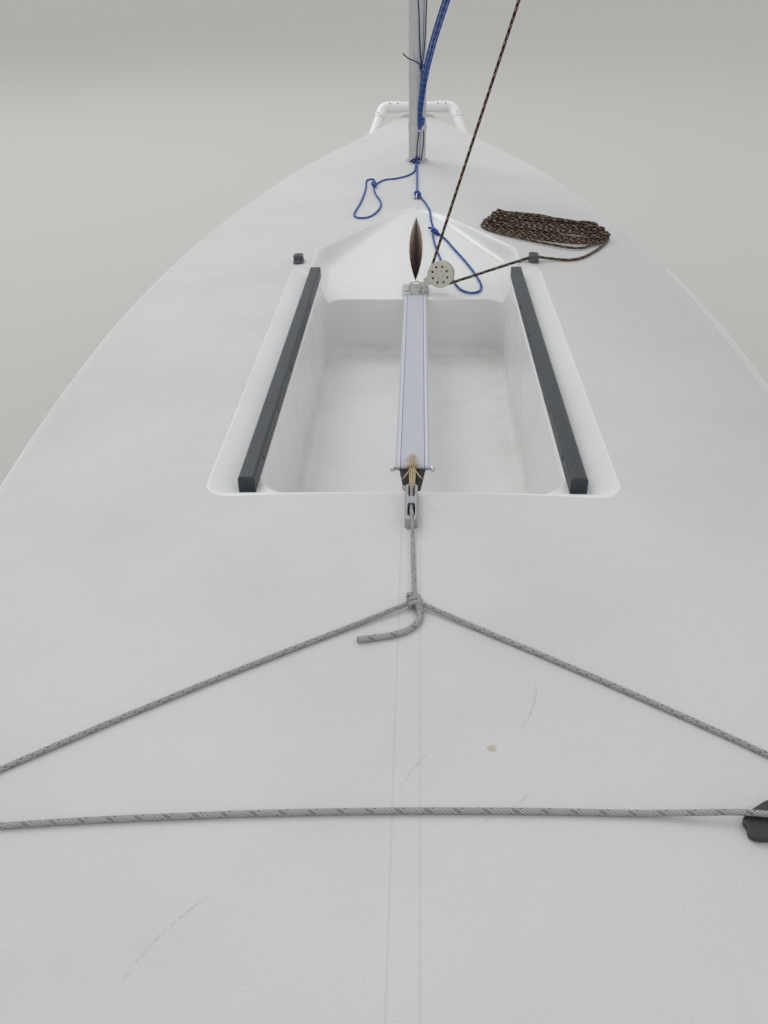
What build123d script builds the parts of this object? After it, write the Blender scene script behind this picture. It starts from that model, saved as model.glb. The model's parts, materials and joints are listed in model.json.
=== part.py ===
from build123d import *
import os
from math import asin, cos, degrees, pi, radians, sin, tan

# A one-design single-handed sailing dinghy, rigged, ashore on its home-made launching trolley.
# Boat coordinates: x to starboard, y forward from the transom, z up from the deck's centreline.
# keep() moves each finished piece so that the floor is z = 0 and the middle of the length is y = 0.
# Rig pieces are drawn about an upright mast with the boom amidships, and keep_rig() sets them in place.

# Hull
hull_length = 4200
beam = 1386
deck_height = 740            # deck's centreline above the floor
hull_depth = 345             # deck's centreline to the lowest point of the bottom
camber = 48                  # fall of the deck from its centreline to its edge amidships
bow_rise = 74                # rise of the deck at the stem
transom_half = 525
widest_station = 1620
bow_half_angle = 30
shoulder_heading = 14.5      # degrees turned in by the deck's edge where the bow's curve tightens
bow_curve_share = 0.31       # radius of the bow's curve as a share of the side's
stem_radius = 36
gunwale_radius = 10
trim = 26                    # sections stand this far outside the deck's outline, which trims them

# Cockpit
well_aft = 905
well_front = 1990
well_depth = 215
well_half = 237
well_draft = 4
well_corner = 45
well_floor_radius = 20
well_lip_radius = 4
ledge_radius = 5
rim_depth = 22
rim_ledge = 31               # seat of a grab rail beside the well
rim_aft_ledge = 8
rim_past_front = 40
rim_run_side = 3.4           # run over fall of the rim
rim_run_end = 1.1
rim_corner = 8
rim_corner_growth = 2.1      # corner's radius gained for each unit of rise

# Sunk ramp between the cockpit and the daggerboard slot
ramp_front = 2628
ramp_slope = 6.7
ramp_draft = 22
ramp_tip = 16                # the banks would meet this far past the ramp's front
ramp_nose = (78, 2535)
ramp_shoulder_station = 2205
ramp_shoulder_out = 8        # shoulder's distance outside the well
ramp_aft_out = 4
ramp_apex_radius = 40
ramp_bend_radius = 70
bank_foot_radius = 24
bank_top_radius = 12

# Daggerboard slot
slot_front = 2555
slot_aft = 2095
slot_width = 38

# Grab rails
rail_size = 26
rail_from_aft = 4            # well's aft end to the rail
rail_past_front = 9
rail_round = 5
rail_screws = 6
screw_head = 4.5

# Hiking strap and its plate
strap_width = 58
strap_thick = 3
strap_aft = 1040
strap_aft_z = -52
strap_tail = 62
plate_length = 62
plate_width = 66
plate_thick = 3

# Ratchet block
block_radius = 33
block_width = 24
block_offset = (65, 30, 49.4)        # from the ramp at the well's front edge
block_look = (0, -0.96, 0.28)        # the cheek looks aft and up, as square to its shackle as it can
block_cheek = 5
block_rim = 2.5              # raised edge of a cheek
block_holes = 8
block_dots = 4
swivel_length = 24
swivel_taper = 14
shackle_radius = 3
shackle_on_eye = 0.8         # how far round the plate's eye the shackle sits
shackle_gap = 0.7
shackle_ring = 8
shackle_wire = 2

# Deck fittings
cleat_out = 36               # outside the ledge of the rim
cleat_forward = 95           # forward of the well
cleat_base = (26, 42, 7)
cam_size = (24, 13, 12)
cam_teeth = 6
jaw_gap = {"port": 0.8, "starboard": 7.6}      # the starboard cleat holds the mainsheet
eye_station = 2756
clam_from_well = 33
clam_length = 100
clam_width = 18
clam_height = 16
clam_hole = (36, 11)         # oval hole that the rope comes up through
clam_hole_aft = 25           # cleat's aft end to the middle of that hole
clam_bridge = (44, 62)       # from the aft end
clam_teeth = 8
fairlead_station = 268
fairlead_from_edge = 64.4
traveller_block_in = 120     # inboard of the starboard fairlead
traveller_block_forward = 3
traveller_block_width = 22
traveller_block_cheek = 19
eye_wire = 2.5
sheave_groove = 4.2

# Spars
mast_from_bow = 840
mast_rake = 3.0
mast_radius = 32
mast_wall = 3.0
mast_lower_length = 2865
mast_step_depth = 235
mast_fit = 0.3
joint_sleeve = 3.2           # wall of the sleeve between the two parts of the mast
mast_upper_wall = 2.2
mast_upper_length = 3600
mast_overlap = 360
boom_angle = 10              # boom to starboard of the centreline
boom_height = 625            # gooseneck above the deck along the mast
boom_lift = 7                # degrees above square to the mast
boom_radius = 25.4
boom_wall = 2.0
boom_length = 2743
boom_off_mast = 20           # mast's side to the front of the boom's tube
vang_height = 122
boom_plug = 24               # how far the boom's end plugs reach in
boom_plug_head = 6

# Sail
sail_short_of_end = 195      # clew to the end of the boom
sail_cloth = 3.0
sleeve_wall = 1.5
sleeve_gap = 0.5
sail_camber = 0.07

# Rudder hangings
pintle_radius = 4.2
gudgeon_reach = 38
gudgeon_radius = 11
gudgeon_thick = 10
gudgeon_levels = (-62, -172)

# Trolley
pipe_radius = 21.5
handle_half = 153
handle_from_bow = 95
handle_height = 89
arm_spread = 0.325           # run outward for each unit aft
arm_fall = 38
arm_joint = 0.4              # where the handle meets the side rail, as a share of the arm
bend_radius = 34
rail_below_hull = 44         # hull's lowest point to the axis of the trolley's rails
side_rail_aft = 1300
axle_station = 1850
axle_radius = 12.5
wheel_radius = 200
wheel_width = 96
tyre_depth = 96
wheel_gap = 22               # leg's axle sleeve to the tyre
leg_sleeve = 34              # half length of that sleeve
socket_wall = 4
socket_half = 45
foot_aft_of_arm = 343
foot_cap_wall = 5
foot_cap_height = 30
pad_stations = (1480, 2620)
pad_middles = (210, 150)
pad_length = 120
pad_wall = 22

coupling_wall = 3.5
coupling_half = 42
elbow_socket = 34
elbow_wall = 2
end_cap = 30
wheel_ribs = 6

# Free ropes: plan points as (x, station), lying on the boat
sheet_diameter = 7
line_diameter = 5.5
cord_lift = 0.4              # kept clear of the surface below
hank_height = 22
hank_outline = [
    (168, 2402),
    (220, 2316),
    (286, 2256),
    (368, 2213),
    (424, 2185),
    (458, 2202),
    (484, 2249),
    (513, 2236),
    (552, 2330),
    (560, 2432),
    (540, 2462),
    (440, 2500),
    (330, 2576),
    (256, 2616),
    (232, 2598),
]
hank_corner = 14
tail_points = [
    # the third value is an extra height, where the rope comes down from its cleat
    (320, 2086, 7.6),
    (340, 2092, 4.1),
    (362, 2101, 1.1),
    (388, 2101),
    (412, 2111),
    (438, 2137),
    (462, 2174),
    (482, 2212),
    (498.2, 2241.9),
]
port_line_points = [
    (-4, 3304),
    (-6, 3250),
    (-5, 3194),
    (-13, 3140),
    (-30, 3096),
    (-54, 3064),
    (-80, 3044),
    (-103, 3043),
    (-119, 3024),
    (-130, 2998),
    (-135, 2976),
    (-145, 2968),
    (-156, 2977),
    (-153, 3002),
    (-146, 3030),
    (-149, 3049),
    (-160, 3057),
    (-171, 3049),
    (-175, 3030),
    (-174, 2996),
    (-171.5, 2940),
    (-171, 2874),
    (-172.5, 2804),
    (-175.5, 2736),
    (-180, 2668),
    (-186, 2606),
    (-190, 2550),
    (-179, 2514),
    (-158, 2503),
    (-137, 2520),
    (-124, 2560),
    (-112, 2618),
    (-110, 2680),
    (-118, 2740),
    (-131, 2798),
    (-140, 2860),
    (-145, 2922),
]
starboard_line_points = [
    # the third value is an extra height, over the edge of the ramp
    (12, 2772),
    (17, 2740),
    (29, 2680),
    (37, 2612, 1),
    (41, 2576, 3.4),
    (44, 2530, 0.3),
    (47, 2480),
    (56, 2434),
    (71, 2398),
    (88, 2362),
    (102, 2312),
    (121, 2256),
    (138, 2204),
    (153, 2150),
    (165, 2100),
    (172, 2056),
    (167, 2022),
    (147, 2010),
    (125, 2019),
    (109, 2047),
    (97, 2094),
    (84, 2148),
    (72, 2204),
    (63, 2258),
    (56, 2312),
    (50.5, 2362),
    (48, 2406),
]

seat_gap = 0.2               # glue or fitting gap between pieces of one body
running_gap = 0.1

# Derived places
half_beam = beam / 2
rim_half = well_half + rim_ledge
rail_length = well_front + rail_past_front - well_aft - rail_from_aft
ramp_shoulder = (well_half + ramp_shoulder_out, ramp_shoulder_station)
ramp_half_aft = well_half + ramp_aft_out
cleat_place = (rim_half + cleat_out, well_front + cleat_forward)
clam_aft = well_aft - clam_from_well - clam_length
mast_station = hull_length - mast_from_bow
mast_upper_radius = mast_radius - mast_wall - joint_sleeve - 2 * seat_gap
boom_gap = mast_radius + boom_off_mast
sail_foot = boom_gap + boom_length - sail_short_of_end
handle_station = hull_length - handle_from_bow
side_rail_z = -(hull_depth + rail_below_hull)
arm_run = (handle_height - side_rail_z) / tan(radians(arm_fall))
side_rail_x = handle_half + arm_spread * arm_run
arm_foot_station = handle_station - arm_run
foot_station = arm_foot_station - foot_aft_of_arm
axle_z = wheel_radius - deck_height
wheel_x = side_rail_x + leg_sleeve + wheel_gap + wheel_width / 2
quarter_narrowing = half_beam - transom_half
quarter_radius = (quarter_narrowing**2 + widest_station**2) / (2 * quarter_narrowing)
fairlead_x = (
    half_beam
    - quarter_radius
    + (quarter_radius**2 - (widest_station - fairlead_station) ** 2) ** 0.5
    - fairlead_from_edge
)
fairlead_place = (fairlead_x, fairlead_station)
traveller_block_place = (
    fairlead_x - traveller_block_in,
    fairlead_station + traveller_block_forward,
)
to_floor = Location((0, -(hull_length - gudgeon_reach) / 2, deck_height))
sides = {"port": -1, "starboard": 1}

os.makedirs("parts", exist_ok=True)


def keep(piece, name):
    placed = piece.moved(to_floor)
    placed.label = name
    export_step(placed, f"parts/{name}.step")


def sheer(station):
    """Rise of the deck's centreline towards the bow."""
    start = mast_station - 60
    if station <= start:
        return 0.0
    return bow_rise * ((station - start) / (hull_length - start)) ** 1.35


def ramp_z(station):
    return -(ramp_front - station) * tan(radians(ramp_slope))


# Hull

# breadths are shares of the half beam, the edge's fall of the camber, keel and chine depths of the hull's
hull_sections = [
    # station, breadth, rise, fall, keel, chine out, chine down, bilge radius
    (0.0, transom_half / half_beam, 0, 0.85, 0.60, 0.66, 0.50, 60),
    (0.2, 0.9437, 0, 0.93, 0.80, 0.745, 0.66, 90),
    (0.4, 1.0, 0, 1.00, 0.97, 0.775, 0.80, 120),
    (0.6, 0.9091, 0, 1.00, 1.00, 0.66, 0.79, 130),
    (0.8, 0.6537, 3, 0.72, 0.80, 0.40, 0.54, 100),
    (1.0, 0.0317, bow_rise, 0.12, 0.00, 0.02, -0.10, 6),
]

# the space above the sunk ramp, whose banks turn softly into it
ramp_floor = Plane(
    origin=(0, ramp_front, 0),
    x_dir=(1, 0, 0),
    z_dir=(0, -sin(radians(ramp_slope)), cos(radians(ramp_slope))),
)
ramp_end = well_front - 30 - ramp_front
with BuildPart() as ramp_space:
    with BuildSketch(ramp_floor):
        with BuildLine():
            Polyline(
                (0, ramp_tip),
                (ramp_nose[0], ramp_nose[1] - ramp_front),
                (ramp_shoulder[0], ramp_shoulder[1] - ramp_front),
                (ramp_half_aft, ramp_end),
                (0, ramp_end),
            )
            mirror(about=Plane.YZ)
        make_face()
        corners = vertices().sort_by(Axis.Y)
        fillet(corners[-1], radius=ramp_apex_radius)
        bends = [v for v in vertices() if corners[2].Y - 1 < v.Y < corners[-2].Y + 1]
        fillet(bends, radius=ramp_bend_radius)
    extrude(amount=110, taper=-ramp_draft)
    ramp_bed = ramp_space.faces().sort_by(Axis(ramp_floor.origin, ramp_floor.z_dir))[0]
    fillet(ramp_bed.edges().sort_by(Axis.Y)[1:], radius=bank_foot_radius)

with BuildPart() as hull:
    for share, breadth, rise, fall, keel, chine_out, chine_down, bilge in hull_sections:
        edge = (breadth * half_beam + trim, rise - fall * camber)
        with BuildSketch(Plane.XZ.offset(-share * hull_length)):
            with BuildLine():
                FilletPolyline(
                    edge,
                    (chine_out * half_beam, -chine_down * hull_depth),
                    (0, -keel * hull_depth),
                    radius=bilge,
                )
                mirror(about=Plane.YZ)
                ThreePointArc((-edge[0], edge[1]), (0, rise), edge)
            make_face()
    loft()
    deck_face = hull.faces().sort_by(SortBy.AREA)[-1]

    # outline of the deck: an arc each way from the widest place, a tighter one, straight to the stem
    bow_turn, side_turn = radians(bow_half_angle), radians(shoulder_heading)
    bow_point = hull_length + stem_radius * (1 / sin(bow_turn) - 1)
    side_radius = ((bow_point - widest_station) * tan(bow_turn) - half_beam) / (
        tan(bow_turn) * (sin(side_turn) + bow_curve_share * (sin(bow_turn) - sin(side_turn)))
        - (1 - cos(side_turn))
        - bow_curve_share * (cos(side_turn) - cos(bow_turn))
    )
    with BuildSketch(Plane.XY.offset(-hull_depth - 40)):
        with BuildLine():
            quarter = JernArc(
                (half_beam, widest_station),
                (0, -1),
                quarter_radius,
                -degrees(asin(widest_station / quarter_radius)),
            )
            side = JernArc((half_beam, widest_station), (0, 1), side_radius, shoulder_heading)
            bow = JernArc(
                side @ 1, side % 1, bow_curve_share * side_radius, bow_half_angle - shoulder_heading
            )
            Line(bow @ 1, (0, bow_point))
            Line(quarter @ 1, (0, 0))
            mirror(about=Plane.YZ)
        make_face()
        fillet(vertices().sort_by(Axis.Y)[-1], radius=stem_radius)
    extrude(amount=hull_depth + 40 + 2 * bow_rise, mode=Mode.INTERSECT)

    fillet(hull.faces().sort_by(SortBy.AREA)[-1].edges(), radius=gunwale_radius)

    add(ramp_space.part, mode=Mode.SUBTRACT)
    bank_tops = hull.faces().sort_by(SortBy.AREA)[-1].inner_wires()[0].edges().sort_by(Axis.Y)[1:]
    fillet(bank_tops, radius=bank_top_radius)

    # rim that falls from the deck to the seats of the grab rails
    rim_lift = rim_depth + 2
    rim_front = well_front + rim_past_front
    rim_aft = well_aft - rim_aft_ledge
    for level, grow in ((-rim_depth, 0), (rim_lift - rim_depth, rim_lift)):
        with BuildSketch(Plane.XY.offset(level)):
            with Locations((0, (rim_aft + rim_front) / 2)):
                RectangleRounded(
                    2 * (rim_half + grow * rim_run_side),
                    rim_front - rim_aft + 2 * grow * rim_run_end,
                    rim_corner + grow * rim_corner_growth,
                )
    loft(mode=Mode.SUBTRACT)

    # well
    floor_inset = well_depth * tan(radians(well_draft))
    with BuildSketch(Plane.XY.offset(-well_depth)):
        with Locations((0, (well_aft + well_front) / 2)):
            RectangleRounded(
                2 * (well_half - floor_inset),
                well_front - well_aft - 2 * floor_inset,
                well_corner,
            )
    extrude(amount=well_depth + 30, taper=-well_draft, mode=Mode.SUBTRACT)
    fillet([e for e in hull.edges() if abs((e @ 0.5).Z + well_depth) < 0.5], radius=well_floor_radius)
    ledge_inner = [
        e
        for e in hull.edges()
        if abs((e @ 0.5).Z + rim_depth) < 0.5
        and abs((e @ 0.5).X) < well_half
        and well_aft < (e @ 0.5).Y < well_front - 60
    ]
    fillet(ledge_inner, radius=ledge_radius)
    lip_level = ramp_z(well_front - 5)
    well_lip = [
        e
        for e in hull.edges()
        if well_front - 40 < (e @ 0.5).Y < well_front and abs((e @ 0.5).Z - lip_level) < 6
    ]
    fillet(well_lip, radius=well_lip_radius)

    # daggerboard slot, right through
    with BuildSketch(Plane.XY.offset(-hull_depth - 20)):
        with BuildLine():
            slot_middle = (slot_front + slot_aft) / 2
            ThreePointArc((0, slot_aft), (slot_width / 2, slot_middle), (0, slot_front))
            ThreePointArc((0, slot_front), (-slot_width / 2, slot_middle), (0, slot_aft))
        make_face()
    extrude(amount=hull_depth + 40, mode=Mode.SUBTRACT)

    # mast step
    mast_axis = (0, -sin(radians(mast_rake)), cos(radians(mast_rake)))
    mast_foot = (0, mast_station, sheer(mast_station))
    mast_plane = Plane(origin=mast_foot, x_dir=(1, 0, 0), z_dir=mast_axis)
    with BuildSketch(mast_plane.offset(-mast_step_depth)):
        Circle(mast_radius + mast_fit)
    extrude(amount=mast_step_depth + 30, mode=Mode.SUBTRACT)

keep(hull.part, "hull")


def deck_z(x, y):
    """Height of the deck's surface."""
    return deck_face.find_intersection_points(Axis((x, y, 500), (0, 0, -1)))[0][0].Z


def deck_plane(x, y, turn=0):
    """Plane that lies on the deck, with its x axis turned from the boat's by turn degrees."""
    point, normal = deck_face.find_intersection_points(Axis((x, y, 500), (0, 0, -1)))[0]
    if normal.Z < 0:
        normal = -normal
    across = Vector(cos(radians(turn)), sin(radians(turn)), 0)
    across = across - normal * across.dot(normal)
    return Plane(origin=point, x_dir=across, z_dir=normal)


def surface_z(x, y):
    """Height of whatever part of the hull's skin a thing dropped here would land on."""
    hits = hull.part.find_intersection_points(Axis((x, y, 500), (0, 0, -1)))
    return max(point.Z for point, normal in hits)


# Cockpit fittings

rail_z = -rim_depth
rail_x = well_half + 2 + rail_size / 2
rail_middle = well_aft + rail_from_aft + rail_length / 2
for name, side_sign in sides.items():
    with BuildPart() as grab_rail:
        with Locations((side_sign * rail_x, rail_middle, rail_z)):
            Box(rail_size, rail_length, rail_size, align=(Align.CENTER, Align.CENTER, Align.MIN))
        top_edges = grab_rail.faces().sort_by(Axis.Z)[-1].edges()
        fillet(top_edges, radius=rail_round)
        inner_face = Plane(
            origin=(side_sign * (rail_x - rail_size / 2), rail_middle, rail_z + rail_size / 2),
            x_dir=(0, 1, 0),
            z_dir=(-side_sign, 0, 0),
        )
        with Locations(inner_face):
            with GridLocations(rail_length / rail_screws, 1, rail_screws, 1):
                Hole(screw_head, depth=4)
    keep(grab_rail.part, f"grab_rail_{name}")

strap_front_z = ramp_z(well_front)
with BuildPart() as hiking_strap:
    with BuildSketch(Plane.YZ.offset(-strap_width / 2)):
        with BuildLine():
            plate_front = well_front + plate_length + 8
            Polyline(
                (plate_front, ramp_z(plate_front)),
                (well_front, strap_front_z),
                (strap_aft, strap_aft_z),
                (strap_aft, strap_aft_z + strap_thick),
                (well_front, strap_front_z + strap_thick),
                (plate_front, ramp_z(plate_front) + strap_thick),
                close=True,
            )
        make_face()
    extrude(amount=strap_width)
    strap_end = Plane(origin=(0, strap_aft, strap_aft_z + 0.5), x_dir=(1, 0, 0), z_dir=(0, 0, 1))
    with BuildSketch(strap_end):
        with BuildLine():
            Polyline(
                (-0.42 * strap_width, 0),
                (0.42 * strap_width, 0),
                (7, -strap_tail),
                (-7, -strap_tail),
                close=True,
            )
        make_face()
    extrude(amount=strap_thick - 1)
keep(hiking_strap.part, "hiking_strap")

plate_bed = Plane(
    origin=(0, well_front + 10, ramp_z(well_front + 10) + strap_thick),
    x_dir=ramp_floor.x_dir,
    z_dir=ramp_floor.z_dir,
)
eye_y = 34
eye_rise = 20
with BuildPart() as strap_plate:
    with BuildSketch(plate_bed):
        with Locations((0, plate_length / 2)):
            RectangleRounded(plate_width, plate_length, 6)
    extrude(amount=plate_thick)
    for foot_x in (-22, 22):
        with BuildSketch(plate_bed.offset(plate_thick)):
            with Locations((foot_x, plate_length / 2)):
                SlotOverall(26, 12, rotation=90)
        extrude(amount=3)
    with BuildLine():
        eye_feet = [plate_bed.from_local_coords((x, eye_y, plate_thick)) for x in (-14, 14)]
        eye_top = plate_bed.from_local_coords((0, eye_y, plate_thick + eye_rise))
        eye_arc = ThreePointArc(eye_feet[0], eye_top, eye_feet[1])
    with BuildSketch(Plane(origin=eye_arc @ 0, z_dir=eye_arc % 0)):
        Circle(eye_wire)
    sweep()
keep(strap_plate.part, "strap_plate")

# the block stands on its shackle, which meets the shoulder of the plate's eye
block_station = well_front + block_offset[1]
block_centre = (block_offset[0], block_station, ramp_z(block_station) + block_offset[2])
block_middle = Vector(*block_centre)
shackle_seat = eye_arc @ shackle_on_eye
shackle_way = (shackle_seat - block_middle).normalized()
look = Vector(*block_look)
cheek_normal = (look - shackle_way * look.dot(shackle_way)).normalized()
block_plane = Plane(origin=block_centre, x_dir=shackle_way, z_dir=cheek_normal)
wire_way = eye_arc % shackle_on_eye
ring_axis = (wire_way - shackle_way * wire_way.dot(shackle_way)).normalized()
ring_centre = shackle_seat - shackle_way * (shackle_ring - shackle_wire - eye_wire - shackle_gap)
with BuildPart() as ratchet_block:
    with BuildSketch(block_plane):
        Circle(block_radius - 6)
    extrude(amount=block_width / 2, both=True)
    with BuildSketch(block_plane):
        Circle(block_radius)
    extrude(amount=block_width / 2, both=True)
    chamfer(ratchet_block.edges(), length=1.5)
    with BuildSketch(block_plane):
        Circle(block_radius + 1)
        Circle(block_radius - 7, mode=Mode.SUBTRACT)
    extrude(amount=block_width / 2 - block_cheek, both=True, mode=Mode.SUBTRACT)
    for face_turn in (1, -1):
        cheek_face = Plane(
            origin=block_middle + cheek_normal * face_turn * block_width / 2,
            x_dir=shackle_way,
            z_dir=cheek_normal * face_turn,
        )
        with BuildSketch(cheek_face.offset(-1)):
            Circle(block_radius - block_rim - 1.5)
        extrude(amount=1, mode=Mode.SUBTRACT)
        with BuildSketch(cheek_face.offset(-1)):
            with PolarLocations(0.62 * block_radius, block_holes):
                Circle(3.2)
        extrude(amount=-4, mode=Mode.SUBTRACT)
        with BuildSketch(cheek_face.offset(-1)):
            with PolarLocations(0.27 * block_radius, block_dots, start_angle=45):
                Circle(1.3)
        extrude(amount=-1.5, mode=Mode.SUBTRACT)
    swivel_plane = Plane(origin=block_centre, x_dir=cheek_normal, z_dir=shackle_way)
    with BuildSketch(swivel_plane.offset(block_radius - 10)):
        RectangleRounded(block_width - 3, 30, 5)
    extrude(amount=swivel_length, taper=swivel_taper)
    with BuildSketch(swivel_plane.offset(block_radius - 12)):
        Circle(shackle_radius)
    extrude(amount=(ring_centre - block_middle).length - shackle_ring - block_radius + 12)
    with BuildSketch(Plane(origin=ring_centre, x_dir=shackle_way, z_dir=shackle_way.cross(ring_axis))):
        with Locations((-shackle_ring, 0)):
            Circle(shackle_wire)
    revolve(axis=Axis(ring_centre, ring_axis))
keep(ratchet_block.part, "ratchet_block")

for name, side_sign in sides.items():
    seat = deck_plane(side_sign * cleat_place[0], cleat_place[1])
    with BuildPart() as sheet_cleat:
        with BuildSketch(seat.offset(-2)):
            RectangleRounded(cleat_base[0], cleat_base[1], 9)
        extrude(amount=2 + cleat_base[2])
        chamfer(sheet_cleat.faces().sort_by(Axis.Z)[-1].edges(), length=1.2)
        jaw = jaw_gap[name] / 2
        for cam_side in (-1, 1):
            with BuildSketch(seat.offset(cleat_base[2])):
                with Locations((0, cam_side * (jaw + cam_size[1] / 2))):
                    RectangleRounded(cam_size[0], cam_size[1], 5)
                with Locations((0, cam_side * jaw)):
                    with GridLocations(2.8, 1, cam_teeth, 1):
                        Circle(0.9, mode=Mode.SUBTRACT)
            extrude(amount=cam_size[2])
            with BuildSketch(seat.offset(cleat_base[2] + cam_size[2])):
                with Locations((0, cam_side * (jaw + cam_size[1] / 2))):
                    Circle(4)
            extrude(amount=1.6)
        add(hull.part, mode=Mode.SUBTRACT)
    keep(sheet_cleat.part, f"sheet_cleat_{name}")

with BuildPart() as deck_eye:
    seat = deck_plane(0, eye_station)
    with BuildSketch(seat.offset(-2)):
        SlotOverall(44, 16, rotation=90)
    extrude(amount=5)
    with BuildLine():
        eye_feet = [seat.from_local_coords((0, y, 2)) for y in (-9, 9)]
        eye_arc = ThreePointArc(eye_feet[0], seat.from_local_coords((0, 0, 15)), eye_feet[1])
    with BuildSketch(Plane(origin=eye_arc @ 0, z_dir=eye_arc % 0)):
        Circle(2.5)
    sweep()
    add(hull.part, mode=Mode.SUBTRACT)
keep(deck_eye.part, "deck_eye")

# a V groove with ridges, a bridge over it and an oval hole behind
with BuildPart() as traveller_cleat:
    seat = deck_plane(0, clam_aft + clam_length / 2)
    with BuildSketch(seat.offset(-2)):
        RectangleRounded(clam_width, clam_length, 6)
    extrude(amount=2 + clam_height)
    chamfer(traveller_cleat.faces().sort_by(Axis.Z)[-1].edges(), length=1.5)
    groove_top = Plane(
        origin=seat.from_local_coords((0, 0, clam_height)),
        x_dir=seat.x_dir,
        z_dir=-seat.y_dir,
    )
    with BuildSketch(groove_top.offset(-clam_length / 2 - 1)):
        Polygon((-5, 1), (5, 1), (1.5, -9), (-1.5, -9), align=None)
    extrude(amount=clam_length - clam_hole_aft + 1, mode=Mode.SUBTRACT)
    for tooth in range(clam_teeth):
        with BuildSketch(groove_top.offset(-clam_length / 2 + 4 + 3.6 * tooth)):
            Polygon((-6.2, 1), (6.2, 1), (2.5, -9.6), (-2.5, -9.6), align=None)
        extrude(amount=1.6, mode=Mode.SUBTRACT)
    with BuildSketch(seat.offset(clam_height - 12)):
        with Locations((0, clam_hole_aft - clam_length / 2)):
            SlotOverall(*clam_hole, rotation=90)
    extrude(amount=20, mode=Mode.SUBTRACT)
    bridge_length = clam_bridge[1] - clam_bridge[0]
    with BuildSketch(seat.offset(clam_height - 3)):
        with Locations((0, clam_bridge[0] + bridge_length / 2 - clam_length / 2)):
            Rectangle(clam_width - 3.2, bridge_length)
    extrude(amount=3)
    add(hull.part, mode=Mode.SUBTRACT)
keep(traveller_cleat.part, "traveller_cleat")

for name, side_sign in sides.items():
    seat = deck_plane(side_sign * fairlead_place[0], fairlead_place[1])
    with BuildPart() as fairlead:
        with BuildSketch(seat.offset(-2)):
            SlotOverall(46, 20, rotation=90)
        extrude(amount=6)
        with BuildLine():
            arch_feet = [seat.from_local_coords((0, y, 3)) for y in (-11, 11)]
            arch = ThreePointArc(arch_feet[0], seat.from_local_coords((0, 0, 19)), arch_feet[1])
        with BuildSketch(Plane(origin=arch @ 0, z_dir=arch % 0)):
            Circle(eye_wire)
        sweep()
        add(hull.part, mode=Mode.SUBTRACT)
    keep(fairlead.part, f"traveller_fairlead_{name}")

# lies on the deck, cheeks up and down
with BuildPart() as traveller_block:
    seat = deck_plane(*traveller_block_place, turn=-20)
    sheave_out = 14
    with BuildSketch(seat.offset(seat_gap)):
        SlotOverall(66, 2 * traveller_block_cheek)
    extrude(amount=traveller_block_width)
    chamfer(traveller_block.edges(), length=1.5)
    with BuildSketch(seat.offset(seat_gap + traveller_block_width / 2)):
        with Locations((sheave_out, 0)):
            Circle(traveller_block_cheek + 1)
            Circle(traveller_block_cheek - 8, mode=Mode.SUBTRACT)
    extrude(amount=sheave_groove, both=True, mode=Mode.SUBTRACT)
    with BuildSketch(seat.offset(seat_gap + traveller_block_width)):
        with Locations((sheave_out, 0)):
            Circle(5)
    extrude(amount=1.5)
    with BuildSketch(Plane(origin=seat.origin, x_dir=seat.x_dir, z_dir=-seat.y_dir)):
        with Locations((-24, seat_gap + traveller_block_width / 2)):
            Circle(4)
    extrude(amount=traveller_block_cheek + 2, both=True, mode=Mode.SUBTRACT)
keep(traveller_block.part, "traveller_block")

# Transom

with BuildPart() as gudgeons:
    for level in gudgeon_levels:
        with BuildSketch(Plane.XZ.offset(0)):
            with Locations((0, level)):
                RectangleRounded(64, 34, 6)
        extrude(amount=2.5)
        lug_y = -gudgeon_reach + gudgeon_radius
        with BuildSketch(Plane.XY.offset(level - gudgeon_thick / 2)):
            with Locations((0, lug_y / 2)):
                Rectangle(2 * gudgeon_radius, -lug_y)
            with Locations((0, lug_y)):
                Circle(gudgeon_radius)
        extrude(amount=gudgeon_thick)
        with Locations((0, lug_y, level)):
            Cylinder(pintle_radius, 2 * gudgeon_thick, mode=Mode.SUBTRACT)
for solid, level_name in zip(gudgeons.part.solids().sort_by(Axis.Z, reverse=True), ("upper", "lower")):
    keep(solid, f"gudgeon_{level_name}")

with BuildPart() as drain_bung:
    with BuildSketch(Plane.XZ):
        with Locations((120, -150)):
            Circle(17)
    extrude(amount=4)
    with BuildSketch(Plane.XZ.offset(4)):
        with Locations((120, -150)):
            Circle(9)
    extrude(amount=8)
keep(drain_bung.part, "drain_bung")

# Spars, drawn upright with the boom amidships

rig_place = mast_plane.location * Location((0, 0, 0), (0, 0, boom_angle))


def keep_rig(piece, name):
    keep(piece.moved(rig_place), name)


mast_base = -mast_step_depth + mast_fit
mast_joint = mast_base + mast_lower_length
upper_base = mast_joint - mast_overlap
mast_top = upper_base + mast_upper_length

with BuildPart() as mast_collar:
    with BuildSketch(mast_plane.offset(-4)):
        Circle(mast_radius + 9)
        Circle(mast_radius + mast_fit, mode=Mode.SUBTRACT)
    extrude(amount=10)
    add(hull.part, mode=Mode.SUBTRACT)
keep(mast_collar.part, "mast_collar")

with BuildPart() as mast_lower:
    with BuildSketch(Plane.XY.offset(mast_base)):
        Circle(mast_radius)
    extrude(amount=mast_lower_length)
    with BuildSketch(Plane.XY.offset(mast_base + 20)):
        Circle(mast_radius - mast_wall)
    extrude(amount=mast_lower_length, mode=Mode.SUBTRACT)
keep_rig(mast_lower.part, "mast_lower")

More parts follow.
